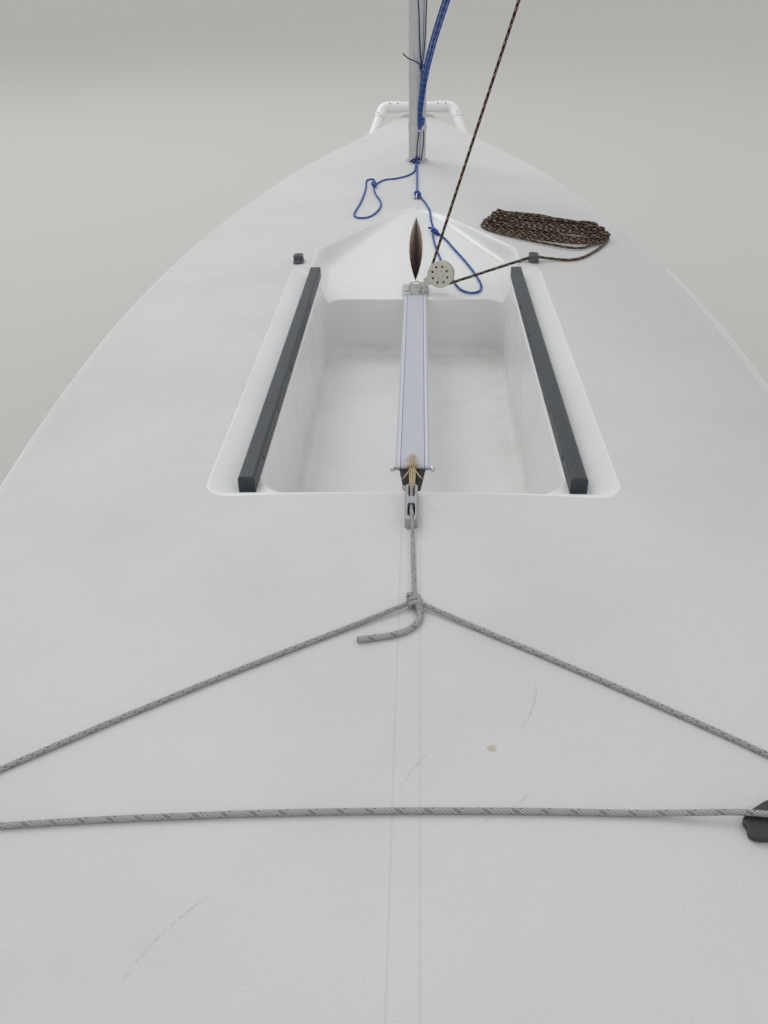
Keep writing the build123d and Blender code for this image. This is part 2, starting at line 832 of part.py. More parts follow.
with BuildPart() as mast_joint_collar:
    with BuildSketch(Plane.XY.offset(upper_base)):
        Circle(mast_radius - mast_wall - seat_gap)
        Circle(mast_upper_radius + seat_gap, mode=Mode.SUBTRACT)
    extrude(amount=mast_overlap)
    with BuildSketch(Plane.XY.offset(mast_joint + seat_gap)):
        Circle(mast_radius)
        Circle(mast_upper_radius + seat_gap, mode=Mode.SUBTRACT)
    extrude(amount=14)
    with BuildSketch(Plane.XY.offset(mast_joint - 1)):
        Circle(mast_radius - mast_wall - seat_gap)
        Circle(mast_upper_radius + seat_gap, mode=Mode.SUBTRACT)
    extrude(amount=2)
keep_rig(mast_joint_collar.part, "mast_joint_collar")

with BuildPart() as mast_upper:
    with BuildSketch(Plane.XY.offset(upper_base)):
        Circle(mast_upper_radius)
    extrude(amount=mast_upper_length)
    with BuildSketch(Plane.XY.offset(upper_base - 1)):
        Circle(mast_upper_radius - mast_upper_wall)
    extrude(amount=mast_upper_length - 10, mode=Mode.SUBTRACT)
keep_rig(mast_upper.part, "mast_upper")

boom_start = Plane(
    origin=(0, -boom_gap, boom_height),
    x_dir=(1, 0, 0),
    z_dir=(0, -cos(radians(boom_lift)), sin(radians(boom_lift))),
)
with BuildPart() as boom:
    with BuildSketch(boom_start):
        Circle(boom_radius)
    extrude(amount=boom_length)
    with BuildSketch(boom_start.offset(8)):
        Circle(boom_radius - boom_wall)
    extrude(amount=boom_length, mode=Mode.SUBTRACT)
keep_rig(boom.part, "boom")

boom_end = boom_start.offset(boom_length)
with BuildPart() as boom_end_plug:
    with BuildSketch(boom_end.offset(-boom_plug)):
        Circle(boom_radius - boom_wall - seat_gap)
    extrude(amount=boom_plug + seat_gap)
    with BuildSketch(boom_end.offset(seat_gap)):
        Circle(boom_radius)
    extrude(amount=boom_plug_head)
    outer_face = boom_end_plug.faces().sort_by(Axis(boom_end.origin, boom_end.z_dir))[-1]
    chamfer(outer_face.edges(), length=2)
    with BuildSketch(boom_end):
        SlotOverall(24, 9, rotation=90)
    extrude(amount=boom_plug_head + 1, mode=Mode.SUBTRACT)
keep_rig(boom_end_plug.part, "boom_end_plug")

with BuildPart() as gooseneck:
    with BuildSketch(Plane.XY.offset(boom_height - 22)):
        Circle(mast_radius + 3)
        with Locations((0, -mast_radius - 4)):
            Rectangle(24, 14)
        Circle(mast_radius + seat_gap, mode=Mode.SUBTRACT)
    extrude(amount=44)
    with BuildSketch(boom_start):
        Circle(7)
    extrude(amount=-14)
    with BuildSketch(boom_start.offset(-4)):
        Circle(boom_radius + 3)
    extrude(amount=34)
    with BuildSketch(boom_start.offset(-seat_gap)):
        Circle(boom_radius + seat_gap)
    extrude(amount=40, mode=Mode.SUBTRACT)
keep_rig(gooseneck.part, "gooseneck")

with BuildPart() as vang_tang:
    with BuildSketch(Plane.XY.offset(vang_height - 9)):
        Circle(mast_radius + 3)
        with Locations((0, -mast_radius - 9)):
            Rectangle(6, 22)
        Circle(mast_radius + seat_gap, mode=Mode.SUBTRACT)
    extrude(amount=18)
    with BuildSketch(Plane(origin=(0, -mast_radius - 13, vang_height), z_dir=(1, 0, 0))):
        Circle(3.5)
    extrude(amount=4, both=True, mode=Mode.SUBTRACT)
keep_rig(vang_tang.part, "vang_tang")

# boom fittings: distance along the boom, cheek radius, half width
boom_fittings = [
    ("vang_eye", 560, 12, 4),
    ("boom_block_middle", boom_length / 2, 22, 10),
    ("boom_block_end", boom_length - 83, 22, 10),
]
for name, along, cheek, half_width in boom_fittings:
    with BuildPart() as boom_fitting:
        with BuildSketch(boom_start.offset(along - 11)):
            Circle(boom_radius + 2.5)
            Circle(boom_radius + seat_gap, mode=Mode.SUBTRACT)
        extrude(amount=22)
        cheek_down = boom_radius + 2 + cheek
        cheek_plane = Plane(
            origin=boom_start.from_local_coords((0, -cheek_down, along)),
            x_dir=boom_start.z_dir,
            z_dir=boom_start.x_dir,
        )
        # the plane's y axis points up to the boom or down from it
        toward_boom = 1 if cheek_plane.y_dir.dot(boom_start.y_dir) > 0 else -1
        with BuildSketch(cheek_plane):
            Circle(cheek)
            with Locations((0, toward_boom * cheek_down / 2)):
                Rectangle(20, cheek_down)
        extrude(amount=half_width, both=True)
        if name == "vang_eye":
            with BuildSketch(cheek_plane):
                with Locations((0, -toward_boom * 2)):
                    Circle(4.5)
            extrude(amount=half_width + 1, both=True, mode=Mode.SUBTRACT)
        else:
            with BuildSketch(cheek_plane):
                Circle(cheek + 1)
                Circle(cheek - 8, mode=Mode.SUBTRACT)
            extrude(amount=sheave_groove, both=True, mode=Mode.SUBTRACT)
            with BuildSketch(cheek_plane):
                Circle(5)
            extrude(amount=half_width + 1.5, both=True)
            with BuildSketch(cheek_plane):
                with Locations((0, toward_boom * (cheek + 1))):
                    Rectangle(9, 4)
            extrude(amount=half_width, both=True)
        with BuildSketch(boom_start.offset(along - 30)):
            Circle(boom_radius + seat_gap)
        extrude(amount=60, mode=Mode.SUBTRACT)
    keep_rig(boom_fitting.part, name)

# Sail: a sleeve on the mast and a curved panel

sail_base = boom_height + 55
sail_luff = mast_top - sail_base
sleeve_radius = mast_radius + sleeve_gap
# height up the luff as a share, chord as a share of the foot, lift of the chord in degrees, twist
sail_sections = [
    (0.00, 1.000, boom_lift + 1.0, 0),
    (0.30, 0.790, 5, 2),
    (0.60, 0.480, 3, 5),
    (1.00, 0.035, 0, 8),
]
with BuildPart() as sail:
    for height, chord, lift, twist in sail_sections:
        length = chord * sail_foot
        depth = max(sail_camber * length, 3)
        out = Vector(0, -cos(radians(lift)), sin(radians(lift))).rotate(Axis.Z, twist)
        across = out.cross(Vector(0, 0, 1)).normalized()
        level = Plane(
            origin=(0, 0, sail_base + 10 + height * (sail_luff - 20)),
            x_dir=out,
            z_dir=out.cross(across),
        )
        start = sleeve_radius + sleeve_wall / 2
        with BuildSketch(level):
            with BuildLine():
                ThreePointArc((start, 0), (start + 0.45 * length, depth), (start + length, 0))
                ThreePointArc(
                    (start, -sail_cloth),
                    (start + 0.45 * length, depth - sail_cloth),
                    (start + length, -sail_cloth),
                )
                Line((start, 0), (start, -sail_cloth))
                Line((start + length, 0), (start + length, -sail_cloth))
            make_face()
    loft()
    with BuildSketch(Plane.XY.offset(sail_base)):
        Circle(sleeve_radius + sleeve_wall)
    extrude(amount=sail_luff + seat_gap + sleeve_wall)
    with BuildSketch(Plane.XY.offset(sail_base - 1)):
        Circle(sleeve_radius)
    extrude(amount=1 + sail_luff + seat_gap, mode=Mode.SUBTRACT)
keep_rig(sail.part, "sail")

# Trolley

for name, side_sign in sides.items():
    with BuildPart() as side_rail:
        with BuildLine():
            arm_foot = (side_sign * side_rail_x, arm_foot_station, side_rail_z)
            arm_join = (
                side_sign * (handle_half + arm_joint * arm_spread * arm_run),
                handle_station - arm_joint * arm_run,
                handle_height + arm_joint * (side_rail_z - handle_height),
            )
            side_path = FilletPolyline(
                (side_sign * side_rail_x, side_rail_aft, side_rail_z),
                arm_foot,
                arm_join,
                radius=120,
            )
        with BuildSketch(Plane(origin=side_path @ 0, z_dir=side_path % 0)):
            Circle(pipe_radius)
        sweep()
        with BuildSketch(Plane.XZ.offset(-side_rail_aft + 3)):
            with Locations((side_sign * side_rail_x, side_rail_z)):
                Circle(pipe_radius + coupling_wall)
        extrude(amount=-end_cap)
    keep(side_rail.part, f"trolley_rail_{name}")

with BuildPart() as handle:
    with BuildLine():
        ends = []
        for side_sign in (-1, 1):
            ends.append(
                (
                    side_sign * (handle_half + arm_joint * arm_spread * arm_run),
                    handle_station - arm_joint * arm_run,
                    handle_height + arm_joint * (side_rail_z - handle_height),
                )
            )
        handle_path = FilletPolyline(
            ends[0],
            (-handle_half, handle_station, handle_height),
            (handle_half, handle_station, handle_height),
            ends[1],
            radius=bend_radius,
        )
    with BuildSketch(Plane(origin=handle_path @ 0, z_dir=handle_path % 0)):
        Circle(pipe_radius)
    sweep()
    for side_sign, end in zip((-1, 1), ends):
        corner = Vector(side_sign * handle_half, handle_station, handle_height)
        down_arm = (Vector(*end) - corner).normalized()
        # elbow
        with BuildLine():
            elbow_path = FilletPolyline(
                corner + down_arm * (bend_radius + elbow_socket),
                corner,
                corner - Vector(side_sign * (bend_radius + elbow_socket + 8), 0, 0),
                radius=bend_radius,
            )
        with BuildSketch(Plane(origin=elbow_path @ 0, z_dir=elbow_path % 0)):
            Circle(pipe_radius + elbow_wall)
        sweep(path=elbow_path)
        # coupling, whose lower half takes the side rail
        with BuildSketch(Plane(origin=end, z_dir=down_arm).offset(-coupling_half)):
            Circle(pipe_radius + coupling_wall)
        extrude(amount=2 * coupling_half)
        with BuildSketch(Plane(origin=end, z_dir=down_arm)):
            Circle(pipe_radius + seat_gap)
        extrude(amount=coupling_half + 1, mode=Mode.SUBTRACT)
keep(handle.part, "trolley_handle")

for name, station, pad_middle in zip(("rear", "front"), pad_stations, pad_middles):
    with BuildPart() as cross_tube:
        with BuildSketch(Plane.YZ.offset(-side_rail_x)):
            with Locations((station, side_rail_z)):
                Circle(pipe_radius)
        extrude(amount=2 * side_rail_x)
        for side_sign in (-1, 1):
            with BuildSketch(Plane.XZ.offset(-station)):
                with Locations((side_sign * side_rail_x, side_rail_z)):
                    Circle(pipe_radius + socket_wall)
            extrude(amount=socket_half, both=True)
            with BuildSketch(Plane.XZ.offset(-station)):
                with Locations((side_sign * side_rail_x, side_rail_z)):
                    Circle(pipe_radius + seat_gap)
            extrude(amount=socket_half + 1, both=True, mode=Mode.SUBTRACT)
    keep(cross_tube.part, f"trolley_cross_{name}")
    for side_name, side_sign in sides.items():
        pad_x = side_sign * pad_middle
        with BuildPart() as pad:
            with BuildSketch(Plane.YZ.offset(pad_x - pad_length / 2)):
                with Locations((station, side_rail_z)):
                    Circle(pipe_radius + pad_wall)
                with Locations((station, side_rail_z + hull_depth / 2)):
                    Rectangle(2 * (pipe_radius + pad_wall), hull_depth)
            extrude(amount=pad_length)
            with BuildSketch(Plane.YZ.offset(pad_x - pad_length)):
                with Locations((station, side_rail_z)):
                    Circle(pipe_radius + seat_gap)
            extrude(amount=2 * pad_length, mode=Mode.SUBTRACT)
            add(hull.part, mode=Mode.SUBTRACT)
        keep(pad.part.solids().sort_by(Axis.Z)[0], f"hull_pad_{name}_{side_name}")

for name, side_sign in sides.items():
    with BuildPart() as axle_leg:
        with BuildSketch(Plane.XZ.offset(-axle_station)):
            with Locations((side_sign * side_rail_x, side_rail_z)):
                Circle(pipe_radius + socket_wall)
        extrude(amount=socket_half, both=True)
        with BuildSketch(Plane.XY.offset(axle_z)):
            with Locations((side_sign * side_rail_x, axle_station)):
                Circle(pipe_radius)
        extrude(amount=side_rail_z - axle_z)
        with BuildSketch(Plane.YZ.offset(side_sign * side_rail_x)):
            with Locations((axle_station, axle_z)):
                Circle(pipe_radius + socket_wall)
        extrude(amount=leg_sleeve, both=True)
        with BuildSketch(Plane.XZ.offset(-axle_station)):
            with Locations((side_sign * side_rail_x, side_rail_z)):
                Circle(pipe_radius + seat_gap)
        extrude(amount=socket_half + 1, both=True, mode=Mode.SUBTRACT)
        with BuildSketch(Plane.YZ.offset(side_sign * side_rail_x)):
            with Locations((axle_station, axle_z)):
                Circle(axle_radius + seat_gap)
        extrude(amount=leg_sleeve + 1, both=True, mode=Mode.SUBTRACT)
    keep(axle_leg.part, f"axle_leg_{name}")

    with BuildPart() as foot:
        with BuildSketch(Plane.XZ.offset(-foot_station)):
            with Locations((side_sign * side_rail_x, side_rail_z)):
                Circle(pipe_radius + socket_wall)
        extrude(amount=socket_half, both=True)
        with BuildSketch(Plane.XY.offset(-deck_height + 3)):
            with Locations((side_sign * side_rail_x, foot_station)):
                Circle(pipe_radius)
        extrude(amount=side_rail_z + deck_height - 3)
        with BuildSketch(Plane.XY.offset(-deck_height)):
            with Locations((side_sign * side_rail_x, foot_station)):
                Circle(pipe_radius + foot_cap_wall)
        extrude(amount=foot_cap_height)
        with BuildSketch(Plane.XZ.offset(-foot_station)):
            with Locations((side_sign * side_rail_x, side_rail_z)):
                Circle(pipe_radius + seat_gap)
        extrude(amount=socket_half + 1, both=True, mode=Mode.SUBTRACT)
    keep(foot.part, f"trolley_foot_{name}")

axle_half = wheel_x + wheel_width / 2 + 22
with BuildPart() as axle:
    with BuildSketch(Plane.YZ.offset(-axle_half)):
        with Locations((axle_station, axle_z)):
            Circle(axle_radius)
    extrude(amount=2 * axle_half)
    for side_sign in (-1, 1):
        for collar_x in (wheel_x - wheel_width / 2 - 8, wheel_x + wheel_width / 2 + 8):
            with BuildSketch(Plane.YZ.offset(side_sign * collar_x)):
                with Locations((axle_station, axle_z)):
                    Circle(axle_radius + 7)
            extrude(amount=3, both=True)
keep(axle.part, "trolley_axle")

rim_radius = wheel_radius - tyre_depth
bead_half = wheel_width / 2 - 18
hub_half = wheel_width / 2 - 10
for name, side_sign in sides.items():
    wheel_axis = Axis((0, axle_station, axle_z), (1, 0, 0))
    wheel_plane = Plane(
        origin=(side_sign * wheel_x, axle_station, axle_z),
        x_dir=(1, 0, 0),
        z_dir=(0, -1, 0),
    )
    with BuildPart() as tyre:
        with BuildSketch(wheel_plane):
            with BuildLine():
                FilletPolyline(
                    (-bead_half, rim_radius),
                    (-wheel_width / 2, rim_radius + 20),
                    (-wheel_width / 2, wheel_radius - 30),
                    (22 - wheel_width / 2, wheel_radius),
                    (wheel_width / 2 - 22, wheel_radius),
                    (wheel_width / 2, wheel_radius - 30),
                    (wheel_width / 2, rim_radius + 20),
                    (bead_half, rim_radius),
                    radius=10,
                )
                Line((bead_half, rim_radius), (-bead_half, rim_radius))
            make_face()
        revolve(axis=wheel_axis)
        with BuildSketch(wheel_plane):
            with Locations((0, wheel_radius)):
                with GridLocations(16, 1, 3, 1):
                    Rectangle(5, 9)
        revolve(axis=wheel_axis, mode=Mode.SUBTRACT)
    keep(tyre.part, f"tyre_{name}")
    with BuildPart() as wheel_hub:
        with BuildSketch(wheel_plane):
            with BuildLine():
                Polyline(
                    (-hub_half, axle_radius + running_gap),
                    (hub_half, axle_radius + running_gap),
                    (hub_half, axle_radius + 13.5),
                    (8, axle_radius + 17.5),
                    (8, rim_radius - 24),
                    (bead_half + 4, rim_radius - 8),
                    (bead_half + 4, rim_radius - seat_gap),
                    (-bead_half - 4, rim_radius - seat_gap),
                    (-bead_half - 4, rim_radius - 8),
                    (-8, rim_radius - 24),
                    (-8, axle_radius + 17.5),
                    (-hub_half, axle_radius + 13.5),
                    close=True,
                )
            make_face()
        revolve(axis=wheel_axis)
        rib_inner = axle_radius + 12
        rib_outer = rim_radius - 14
        with BuildSketch(Plane.YZ.offset(side_sign * wheel_x)):
            with Locations((axle_station, axle_z)):
                with PolarLocations((rib_inner + rib_outer) / 2, wheel_ribs):
                    Rectangle(rib_outer - rib_inner, 6)
        extrude(amount=hub_half - 12, both=True)
    keep(wheel_hub.part, f"wheel_hub_{name}")

# Free ropes

with BuildPart() as hank:
    seat = deck_plane(375, 2400)
    with BuildSketch(Plane.XY.offset(-60)):
        with BuildLine():
            Polyline(*hank_outline, close=True)
        make_face()
        tail_end = Vector(tail_points[-1][0], tail_points[-1][1], 0)
        fillet([v for v in vertices() if (v.center() - tail_end).length >= 20], radius=hank_corner)
        fillet([v for v in vertices() if (v.center() - tail_end).length < 20], radius=3)
    extrude(amount=120)
    with BuildSketch(seat.offset(hank_height)):
        Rectangle(900, 900)
    extrude(amount=200, mode=Mode.SUBTRACT)
    fillet(hank.faces().sort_by(Axis(seat.origin, seat.z_dir))[-1].edges(), radius=6)
    add(hull.part.moved(Location((0, 0, seat_gap))), mode=Mode.SUBTRACT)
keep(hank.part, "sheet_hank")

cords = [
    ("sheet_tail", sheet_diameter, tail_points),
    ("control_line_port", line_diameter, port_line_points),
    ("control_line_starboard", line_diameter, starboard_line_points),
]
for name, diameter, points in cords:
    rise = diameter / 2 + cord_lift
    route = [Vector(x, y, surface_z(x, y) + rise + sum(extra)) for x, y, *extra in points]
    bends = []
    for before, here, after in zip(route, route[1:], route[2:]):
        turn = (here - before).get_angle(after - here)
        shorter = min((here - before).length, (after - here).length)
        bends.append(0.45 * shorter / tan(radians(turn / 2)))
    with BuildPart() as cord:
        with BuildLine():
            cord_path = FilletPolyline(*route, radius=bends)
        with BuildSketch(Plane(origin=cord_path @ 0, z_dir=cord_path % 0)):
            Circle(diameter / 2)
        sweep()
    full_volume = pi * diameter**2 / 4 * cord_path.length
    print(name, "radii", [round(bend) for bend in bends])
    print(name, "length", round(cord_path.length), "volume share", cord.part.volume / full_volume)
    keep(cord.part, name)
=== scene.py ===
import json
import math
import random

import bpy
from mathutils import Matrix, Vector
from mathutils.bvhtree import BVHTree


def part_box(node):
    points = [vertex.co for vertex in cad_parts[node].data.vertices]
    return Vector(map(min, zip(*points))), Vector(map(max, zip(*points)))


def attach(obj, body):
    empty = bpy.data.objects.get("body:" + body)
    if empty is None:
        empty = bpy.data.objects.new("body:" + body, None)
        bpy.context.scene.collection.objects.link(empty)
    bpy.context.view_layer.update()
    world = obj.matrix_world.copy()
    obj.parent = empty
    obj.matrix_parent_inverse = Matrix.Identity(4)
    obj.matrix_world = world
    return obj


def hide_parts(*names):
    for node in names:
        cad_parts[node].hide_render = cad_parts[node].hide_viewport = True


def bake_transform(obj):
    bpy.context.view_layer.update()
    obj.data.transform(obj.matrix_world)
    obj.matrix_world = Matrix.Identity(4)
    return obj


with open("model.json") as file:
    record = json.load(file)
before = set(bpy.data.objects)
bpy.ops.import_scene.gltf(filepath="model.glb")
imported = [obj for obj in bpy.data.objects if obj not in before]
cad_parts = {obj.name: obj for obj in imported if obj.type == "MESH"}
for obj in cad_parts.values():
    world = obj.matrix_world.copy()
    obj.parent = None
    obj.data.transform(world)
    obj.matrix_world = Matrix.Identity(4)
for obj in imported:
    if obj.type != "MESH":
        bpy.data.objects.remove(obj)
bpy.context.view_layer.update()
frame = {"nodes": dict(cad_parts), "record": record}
nodes = frame["nodes"]
print("frame loaded with", len(nodes), "nodes")

# Boat coordinates are millimetres: x to starboard, station forward of the transom, height above the deck
boatDatum = {"transom": -2.081, "deck": 0.740, "rampEnd": 2628, "rampSlope": 6.7}
downward = Vector((0, 0, -1))


def boat(x, station, height):
    return Vector((x / 1000, boatDatum["transom"] + station / 1000, boatDatum["deck"] + height / 1000))


# the sunk ramp ahead of the cockpit rises to the deck at its end
def rampHeight(station):
    return -(boatDatum["rampEnd"] - station) * math.tan(math.radians(boatDatum["rampSlope"]))


def treeOf(nodeName):
    mesh = nodes[nodeName].data
    return BVHTree.FromPolygons([v.co for v in mesh.vertices], [tuple(p.vertices) for p in mesh.polygons])


hullTree = treeOf("hull")


def onHull(x, station, lift=0.0):
    start = boat(x, station, 300)
    hit = hullTree.ray_cast(start, downward)[0]
    return Vector((start.x, start.y, hit.z + lift / 1000))


# The mast leans aft and carries the boom a little to starboard
spars = {"mastStation": 3360, "mastFoot": 1.91, "rake": 3.0, "boomAngle": 10, "gooseneck": 625, "boomLift": 7,
         "boomStart": 52}
sparFrame = (
    Matrix.Translation(boat(0, spars["mastStation"], spars["mastFoot"]))
    @ Matrix.Rotation(math.radians(spars["rake"]), 4, "X")
    @ Matrix.Rotation(math.radians(spars["boomAngle"]), 4, "Z")
)


def onRig(x, y, up):
    return sparFrame @ Vector((x / 1000, y / 1000, up / 1000))


def onBoom(side, above, along):
    lift = math.radians(spars["boomLift"])
    y = -spars["boomStart"] - along * math.cos(lift) + above * math.sin(lift)
    return onRig(side, y, spars["gooseneck"] + along * math.sin(lift) + above * math.cos(lift))


sparSide = (onBoom(1, 0, 0) - onBoom(0, 0, 0)).normalized()
boomUp = (onBoom(0, 1, 0) - onBoom(0, 0, 0)).normalized()

# Meshes and lines


def addObject(name, data, material=None, smooth=True):
    made = bpy.data.objects.new(name, data)
    bpy.context.scene.collection.objects.link(made)
    if material is not None:
        data.materials.append(material)
    if smooth and isinstance(data, bpy.types.Mesh):
        data.polygons.foreach_set("use_smooth", [True] * len(data.polygons))
    return made


def meshFrom(name, points, faces, material=None, smooth=True):
    mesh = bpy.data.meshes.new(name)
    mesh.from_pydata([tuple(p) for p in points], [], faces)
    mesh.update()
    return addObject(name, mesh, material, smooth)


# the points of a smooth line drawn by its control points
def nurbsLine(points, resolution=10):
    curve = bpy.data.curves.new("route", "CURVE")
    curve.dimensions = "3D"
    curve.resolution_u = resolution
    spline = curve.splines.new("NURBS")
    spline.points.add(len(points) - 1)
    for point, place in zip(spline.points, points):
        point.co = (*place, 1)
    spline.order_u = 3
    spline.use_endpoint_u = True
    holder = bpy.data.objects.new("route", curve)
    mesh = bpy.data.meshes.new_from_object(holder)
    line = [v.co.copy() for v in mesh.vertices]
    bpy.data.objects.remove(holder)
    bpy.data.curves.remove(curve)
    bpy.data.meshes.remove(mesh)
    return line


def evenly(line, step):
    lengths = [0.0]
    for a, b in zip(line, line[1:]):
        lengths.append(lengths[-1] + (b - a).length)
    count = max(2, int(lengths[-1] / step))
    spaced = []
    k = 0
    for i in range(count + 1):
        target = lengths[-1] * i / count
        while k < len(line) - 2 and lengths[k + 1] < target:
            k += 1
        span = max(lengths[k + 1] - lengths[k], 1e-9)
        spaced.append(line[k].lerp(line[k + 1], (target - lengths[k]) / span))
    return spaced, lengths[-1]


def lengthOf(line):
    return sum((b - a).length for a, b in zip(line, line[1:]))


def ring(middle, across, other, radius, sides):
    angles = [math.tau * k / sides for k in range(sides)]
    return [middle + radius * (math.cos(a) * across + math.sin(a) * other) for a in angles]


# quads between closed rings of points, then a cap on each end
def ringFaces(rings, sides):
    faces = []
    for start in range(0, (rings - 1) * sides, sides):
        for k in range(sides):
            n = (k + 1) % sides
            faces.append((start + k, start + n, start + sides + n, start + sides + k))
    faces.append(tuple(range(sides - 1, -1, -1)))
    faces.append(tuple((rings - 1) * sides + k for k in range(sides)))
    return faces


# a round tube along a line, with its length and turn kept in a UV map for the braid
def ropeTube(name, line, diameter, material, step=0.003, sides=10, taper=0.0):
    spots, total = evenly(line, step)
    points = []
    heading = (spots[1] - spots[0]).normalized()
    across = heading.orthogonal().normalized()
    last = len(spots) - 1
    for i, spot in enumerate(spots):
        ahead = (spots[min(i + 1, last)] - spots[max(i - 1, 0)]).normalized()
        across = heading.rotation_difference(ahead) @ across
        across = (across - ahead * across.dot(ahead)).normalized()
        heading = ahead
        radius = diameter / 2 * (1 - taper * i / last) * (0.8 if i in (0, last) else 1)
        points += ring(spot, across, heading.cross(across), radius, sides)
    tube = meshFrom(name, points, ringFaces(last + 1, sides), material)
    layer = tube.data.uv_layers.new(name="ropeUv")
    for index, face in enumerate(tube.data.polygons[: last * sides]):
        i, k = divmod(index, sides)
        corners = ((i, k), (i, k + 1), (i + 1, k + 1), (i + 1, k))
        for loop, (along, side) in zip(face.loop_indices, corners):
            layer.data[loop].uv = (along * total / last, side / sides)
    return tube


# a rope through control points
def strand(points, diameter, look, step=0.003, sides=10, resolution=10, taper=0.0, name="strand"):
    return ropeTube(name, nurbsLine(points, resolution), diameter, materials[look], step, sides, taper)


# a knot drawn as a few turns round the rope and one turn back through them
def knot(middle, heading, size, diameter, look, turns=3.2, flat=0.8, sides=10, name="knot"):
    heading = heading.normalized()
    across = heading.cross(Vector((0, 0, 1))).normalized()
    upward = across.cross(heading)
    length, width = size
    reach = width / 2 - diameter / 2
    points = []
    steps = int(turns * 10)
    for i in range(steps + 1):
        angle = math.tau * turns * i / steps
        along = length * (i / steps - 0.5) * 0.8
        wide = reach * (0.82 + 0.18 * math.sin(math.pi * i / steps))
        turned = across * math.cos(angle) + upward * math.sin(angle) * flat
        points.append(middle + heading * along + turned * wide)
    for along, aside, lift in ((0.5, 0.2, 0), (0.1, -0.9, 0.9), (-0.4, 0.3, 1), (-0.62, 0.6, 0)):
        points.append(middle + heading * length * along + (across * aside + upward * flat * lift) * reach)
    return strand(points, diameter, look, 0.002, sides, 6, name=name)


# turns one outline about an axis, for washers, ferrules and screw heads
def turned(name, profile, spot, axis, look, sides=24):
    axis = axis.normalized()
    across = axis.orthogonal().normalized()
    points = []
    for out, up in profile:
        points += ring(spot + axis * up / 1000, across, axis.cross(across), out / 1000, sides)
    return meshFrom(name, points, ringFaces(len(profile), sides), materials[look])


# a sheet through rows of points, with metres across and along it in a UV map for the weave
def ribbon(name, rows, thick, look):
    across = len(rows[0])
    faces = [
        (a, a + 1, a + across + 1, a + across)
        for i in range(len(rows) - 1) for a in range(i * across, (i + 1) * across - 1)
    ]
    piece = meshFrom(name, sum(rows, []), faces, materials[look])
    layer = piece.data.uv_layers.new(name="clothUv")
    for face in piece.data.polygons:
        for loop, vertex in zip(face.loop_indices, face.vertices):
            i, k = divmod(vertex, across)
            width = (rows[i][-1] - rows[i][0]).length
            layer.data[loop].uv = (k / (across - 1) * width, (rows[i][0] - rows[0][0]).length)
    solid = piece.modifiers.new("thickness", "SOLIDIFY")
    solid.thickness = thick
    solid.offset = 0
    return piece


def joined(name, pieces):
    bpy.ops.object.select_all(action="DESELECT")
    for piece in pieces:
        piece.select_set(True)
    bpy.context.view_layer.objects.active = pieces[0]
    bpy.ops.object.join()
    pieces[0].name = name
    return pieces[0]


def carried(piece, body):
    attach(piece, body)
    return piece


# Camera at the photograph's place

photoView = {
    "place": (0.0083, -2.399, 1.4288),
    "pitchDown": 31.24,
    "yawToPort": 2.390,
    "roll": 0.878,
    "focalPixels": 930,
    "longSidePixels": 1024,
    "sensor": 36.0,
}


def addCamera(view):
    pitch, yaw, roll = (math.radians(view[k]) for k in ("pitchDown", "yawToPort", "roll"))
    forward = Vector((-math.sin(yaw) * math.cos(pitch), math.cos(yaw) * math.cos(pitch), -math.sin(pitch)))
    level = Vector((math.cos(yaw), math.sin(yaw), 0))
    down = forward.cross(level)
    right = level * math.cos(roll) + down * math.sin(roll)
    down = down * math.cos(roll) - level * math.sin(roll)
    data = bpy.data.cameras.new("camera")
    data.sensor_width = view["sensor"]
    data.lens = view["sensor"] * view["focalPixels"] / view["longSidePixels"]
    data.clip_end = 200
    camera = bpy.data.objects.new("camera", data)
    bpy.context.scene.collection.objects.link(camera)
    matrix = Matrix((right, -down, -forward)).transposed().to_4x4()
    matrix.translation = Vector(view["place"])
    camera.matrix_world = matrix
    bpy.context.scene.camera = camera


addCamera(photoView)
print("camera placed")

# Shader wiring: a signal is one socket of a node tree, and arithmetic on it adds Math nodes


class Signal:
    def __init__(self, tree, socket):
        self.tree = tree
        self.socket = socket

    def __add__(self, other):
        return maths("ADD", self, other)

    def __sub__(self, other):
        return maths("SUBTRACT", self, other)

    def __rsub__(self, other):
        return maths("SUBTRACT", other, self)

    def __mul__(self, other):
        return maths("MULTIPLY", self, other)

    def __truediv__(self, other):
        return maths("DIVIDE", self, other)


def feed(tree, socket, value):
    if isinstance(value, Signal):
        tree.links.new(value.socket, socket)
    elif isinstance(value, tuple) and len(value) == 3 and socket.type == "RGBA":
        socket.default_value = (*value, 1)
    else:
        socket.default_value = value


def wire(tree, kind, inputs=None, output=0, **settings):
    made = tree.nodes.new(kind)
    for key, value in settings.items():
        setattr(made, key, value)
    for key, value in (inputs or {}).items():
        feed(tree, made.inputs[key], value)
    return Signal(tree, made.outputs[output])


def maths(operation, *values, clamp=False):
    tree = next(value.tree for value in values if isinstance(value, Signal))
    return wire(tree, "ShaderNodeMath", dict(enumerate(values)), operation=operation, use_clamp=clamp)


def ramp(value, low, high, start=0.0, end=1.0):
    wanted = {0: value, 1: low, 2: high, 3: start, 4: end}
    return wire(value.tree, "ShaderNodeMapRange", wanted, interpolation_type="SMOOTHSTEP")


# lays each layer's colour over the ones before it, where its mask is white
def layered(colour, *layers):
    for mask, over in layers:
        colour = wire(mask.tree, "ShaderNodeMix", {0: mask, 6: colour, 7: over}, 2, data_type="RGBA")
    return colour


def noise(where, scale, detail=3.0, rough=0.5):
    wanted = {"Vector": where, "Scale": scale, "Detail": detail, "Roughness": rough}
    return wire(where.tree, "ShaderNodeTexNoise", wanted)


def objectPlace(tree):
    return wire(tree, "ShaderNodeTexCoord", output="Object")


def stretched(where, scale):
    return wire(where.tree, "ShaderNodeMapping", {"Vector": where, "Scale": scale})


